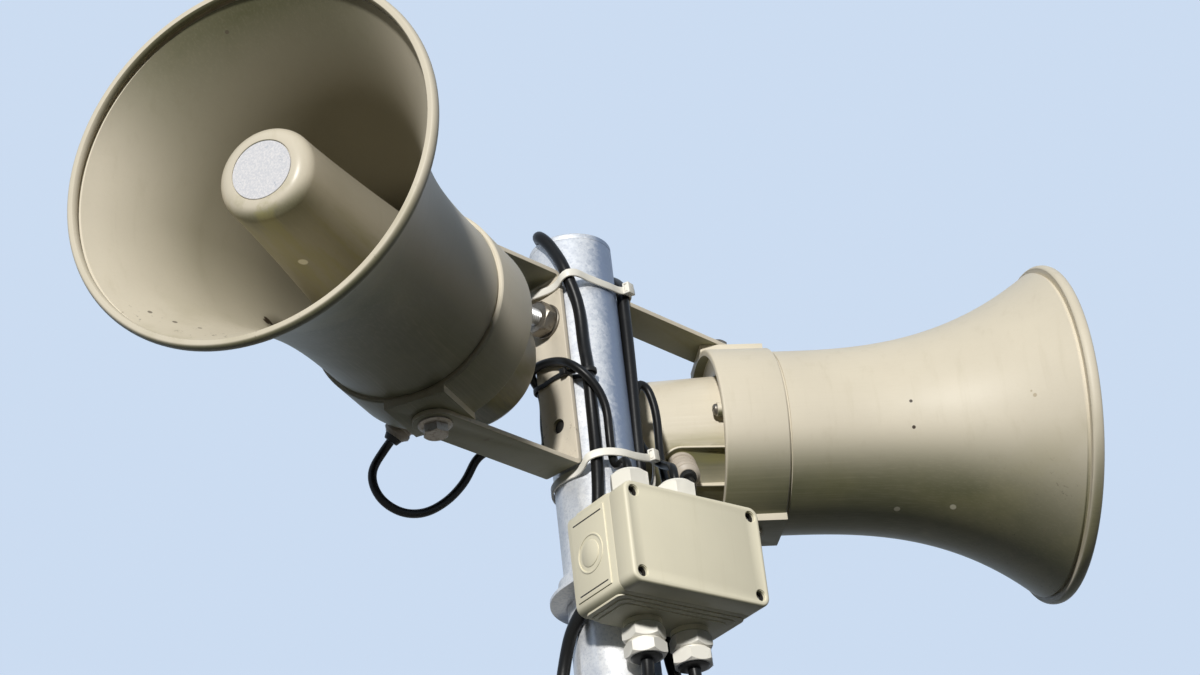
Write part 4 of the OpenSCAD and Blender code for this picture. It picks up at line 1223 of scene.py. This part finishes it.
def keep_depth_shade(piece, start, reach, most, inside=False):
    """Keeps on each point how much painted shade it gets: none at the front, most deep inside, and
    less on the lower side."""
    film = piece.data.attributes.new("film", "FLOAT", "POINT")
    for point, thick in zip(piece.data.attributes["local"].data, film.data):
        along, across, up = point.vector * 1000
        if not inside or math.hypot(across, up) < flare(along) - 1.2:
            thick.value = (min(most, max(0.0, (start - along) / reach))
                           * min(1.0, max(0.3, 0.9 + up / 110)))


def draw_gland(side, body):
    """The ribbed lead gland in the can's pocket, and the lip round the pocket."""
    place = pocket_place(side)
    ribs = [(0, 0), (9, 0), (9, 2.2), (8.6, 2.8), (7.5, 3)]
    for low, radius in ((7.6, 8.5), (12.6, 8.2), (17.2, 7.8)):
        ribs += [(7.2, low - 0.6), (radius, low), (radius, low + 2.0), (7.2, low + 2.6)]
    ribs += [(6, 20.9), (5.6, 21.6), (0, 21.6)]
    add(f"{side}_lead_gland", post(ribs, 64), "putty", [f"{side}_gland"],
        place, body)
    nose = post([(0, 21), (5.2, 21), (5.2, 22), (4.3, 24.6), (4.0, 25), (0, 25)], 48)
    add(f"{side}_gland_nose", nose, "black", (), place, body)
    horn = settings().horn
    taper = mm(horn.can_radius - horn.can_rear_radius) / CAN_LENGTH
    around = [(27, -12)] + arc(0, 0, 12, 270, 90, 16) + [(27, 12)]
    edge = []
    for x, y in around:
        radius = mm(horn.can_radius) - taper * (CAN_FRONT - x)
        edge.append(Vector((x, y, math.sqrt(radius ** 2 - y * y) - POCKET_FLOOR)))
    add(f"{side}_pocket_lip", sweep(edge, round_ring(1.7, 12)), "horn", (), place,
        body)


class HORNMAST_OT_horns(bpy.types.Operator):
    """Draws both horns: bell, collar, bullet, driver can, lead gland, screws and pivots"""
    bl_idname = "hornmast.horns"
    bl_label = "Horns"

    def execute(self, context):
        for side in SIDES:
            place, body = horn_place(side), f"{side}_horn"

            def draw(name, bm, finish, nodes, sharp=35):
                nodes = [f"{side}_{node}" for node in nodes]
                return add(f"{side}_{name}", bm, finish, nodes, place, body, local=True,
                           sharp=sharp)

            def collar_front(at):
                return at.x < -12.9 and math.hypot(at.y, at.z) > 56

            shell = lathe(bell_outline(), 160, closed=True)
            bell = draw("bell_shell", shell, "horn", ["bell", "rim"], 30)
            keep_depth_shade(bell, 190, 55, 1.0, inside=True)
            collar = round_edges(copy_of(f"{side}_collar", place), 1.4, 4, collar_front, 20)
            draw("collar_ring", round_edges(collar, 0.35, 2), "horn", ["collar"])
            bullet = draw("bullet_shell", lathe(bullet_outline(), 112), "horn",
                          ["bullet"], 30)
            keep_depth_shade(bullet, 184, 45, 0.6)
            plate = [(0, 185.9), (16.3, 185.9), (16.5, 186.1), (16.5, 186.8), (16.3, 187),
                     (0, 187)]
            draw("blank_plate", lathe(plate, 96), "badge", ["disc"])
            for name, node, offset, segments in (("throat_tube", "throat", 0.3, 2),
                                                 ("driver_can", "can", 0.6, 3)):
                shell = round_edges(copy_of(f"{side}_{node}", place), offset, segments)
                draw(name, shell, "horn", [node])
            draw_gland(side, body)
            heads = [moved(screw_head(3.4, 2.4), spin("X", math.radians(angle))
                           @ shift(SCREW_BACK, 0, SCREW_OFF) @ spin("Y", -QUARTER))
                     for angle in SCREW_TURNS]
            draw("rear_screws", joined(*heads), "fixing", ["collar_screws"])
            bolts = []
            for flip in (0, HALF):
                pin = joined(
                    post([(0, -6.7), (4, -6.7), (4, 0.5), (0, 0.5)], 48),
                    post([(0, 0), (9.6, 0), (9.6, 0.9), (9.2, 1.4), (7, 2.2), (0, 2.2)], 64),
                    moved(hexagon_nut(13, 5.2), shift(z=2)))
                bolts.append(moved(moved(pin, shift(z=PIVOT_SEAT)), spin("X", flip)))
            draw("pivots", joined(*bolts), "fixing", ["pivot_bolts"])
        return {"FINISHED"}


# ---- stage ----

# The key light: where it stands round the mast, its height and its breadth, in degrees.
KEY_AZIMUTH, KEY_HEIGHT, KEY_BREADTH = 215, 15, 4
# Strength of the floor's own glow, which keeps it pale under the low key light.
FLOOR_GLOW = 0.35


class HORNMAST_OT_stage(bpy.types.Operator):
    """Sets the camera, the lights, the floor and the backdrop"""
    bl_idname = "hornmast.stage"
    bl_label = "Camera, lights and floor"

    def execute(self, context):
        scene = context.scene
        tones = settings().finish
        data = bpy.data.cameras.new("photo_camera")
        data.sensor_width = 36
        data.lens = FOCAL_PIXELS / PHOTO_WIDTH * data.sensor_width
        data.clip_end = 100
        scene.camera = linked("photo_camera", data)
        look = Matrix((RIGHT, RIGHT.cross(FORWARD), -FORWARD)).transposed()
        scene.camera.matrix_world = Matrix.Translation(EYE) @ look.to_4x4()

        light = bpy.data.lights.new("key", "SUN")
        light.energy = tones.key
        light.angle = math.radians(KEY_BREADTH)
        light.color = (1.0, 0.985, 0.95)
        linked("key", light).matrix_world = (spin("Z", math.radians(KEY_AZIMUTH))
                                             @ spin("Y", math.radians(90 - KEY_HEIGHT)))

        floor = bmesh.new()
        bmesh.ops.create_grid(floor, x_segments=1, y_segments=1, size=20)
        mesh = bpy.data.meshes.new("floor")
        floor.to_mesh(mesh)
        floor.free()
        matt = Paint("floor_matt")
        shade = matt.mix(matt.noise(3, 3), scaled(tones.floor, 0.98), tones.floor)
        mesh.materials.append(matt.finish(shade, 0.9))
        matt.join(tones.floor, matt.shader.inputs["Emission Color"])
        matt.join(FLOOR_GLOW, matt.shader.inputs["Emission Strength"])
        dark = matt.node("ShaderNodeBsdfDiffuse", inlets={"Color": scaled(tones.floor, 0.05)})
        matt.join(matt.split_by_ray(dark, Value(matt, matt.shader.outputs[0])),
                  matt.tree.nodes["Material Output"].inputs["Surface"])
        linked("floor", mesh)

        scene.world = bpy.data.worlds.new("backdrop")
        scene.world.use_nodes = True
        air = Nodes(scene.world.node_tree)
        air.tree.nodes.clear()
        lit, shown = [air.node("ShaderNodeBackground", inlets={"Color": tone, "Strength": much})
                      for tone, much in ((tones.air, tones.fill), (tones.backdrop, 1.0))]
        out = air.tree.nodes.new("ShaderNodeOutputWorld")
        air.join(air.split_by_ray(lit, shown), out.inputs["Surface"])
        scene.view_settings.view_transform = "Standard"
        return {"FINISHED"}


# ---- panel and start ----

STEPS = ("stage", "cords", "mast", "yokes", "box", "glands", "ties", "horns")


class HORNMAST_PT_panel(bpy.types.Panel):
    """Lists the sizes, the colours and the pieces"""
    bl_label = "Horn mast"
    bl_idname = "HORNMAST_PT_panel"
    bl_space_type = "VIEW_3D"
    bl_region_type = "UI"
    bl_category = "Horn mast"

    def draw(self, context):
        for title in ("mast", "horn", "box", "finish"):
            group = getattr(context.scene.horn_mast, title)
            part = self.layout.box()
            part.label(text=title.capitalize())
            for name in group.bl_rna.properties.keys():
                if name not in ("rna_type", "name"):
                    part.prop(group, name)
        for step in STEPS:
            self.layout.operator(f"hornmast.{step}")


CLASSES = (MastSizes, HornSizes, BoxSizes, Finishes, HornMast,
           HORNMAST_OT_stage, HORNMAST_OT_cords, HORNMAST_OT_mast, HORNMAST_OT_yokes,
           HORNMAST_OT_box, HORNMAST_OT_glands, HORNMAST_OT_ties, HORNMAST_OT_horns,
           HORNMAST_PT_panel)


def register():
    for each in CLASSES:
        bpy.utils.register_class(each)
    bpy.types.Scene.horn_mast = PointerProperty(type=HornMast)


def unregister():
    del bpy.types.Scene.horn_mast
    for each in reversed(CLASSES):
        bpy.utils.unregister_class(each)


def main():
    register()
    FINISH.update(paints())
    for step in STEPS:
        getattr(bpy.ops.hornmast, step)()


if __name__ == "__main__":
    main()
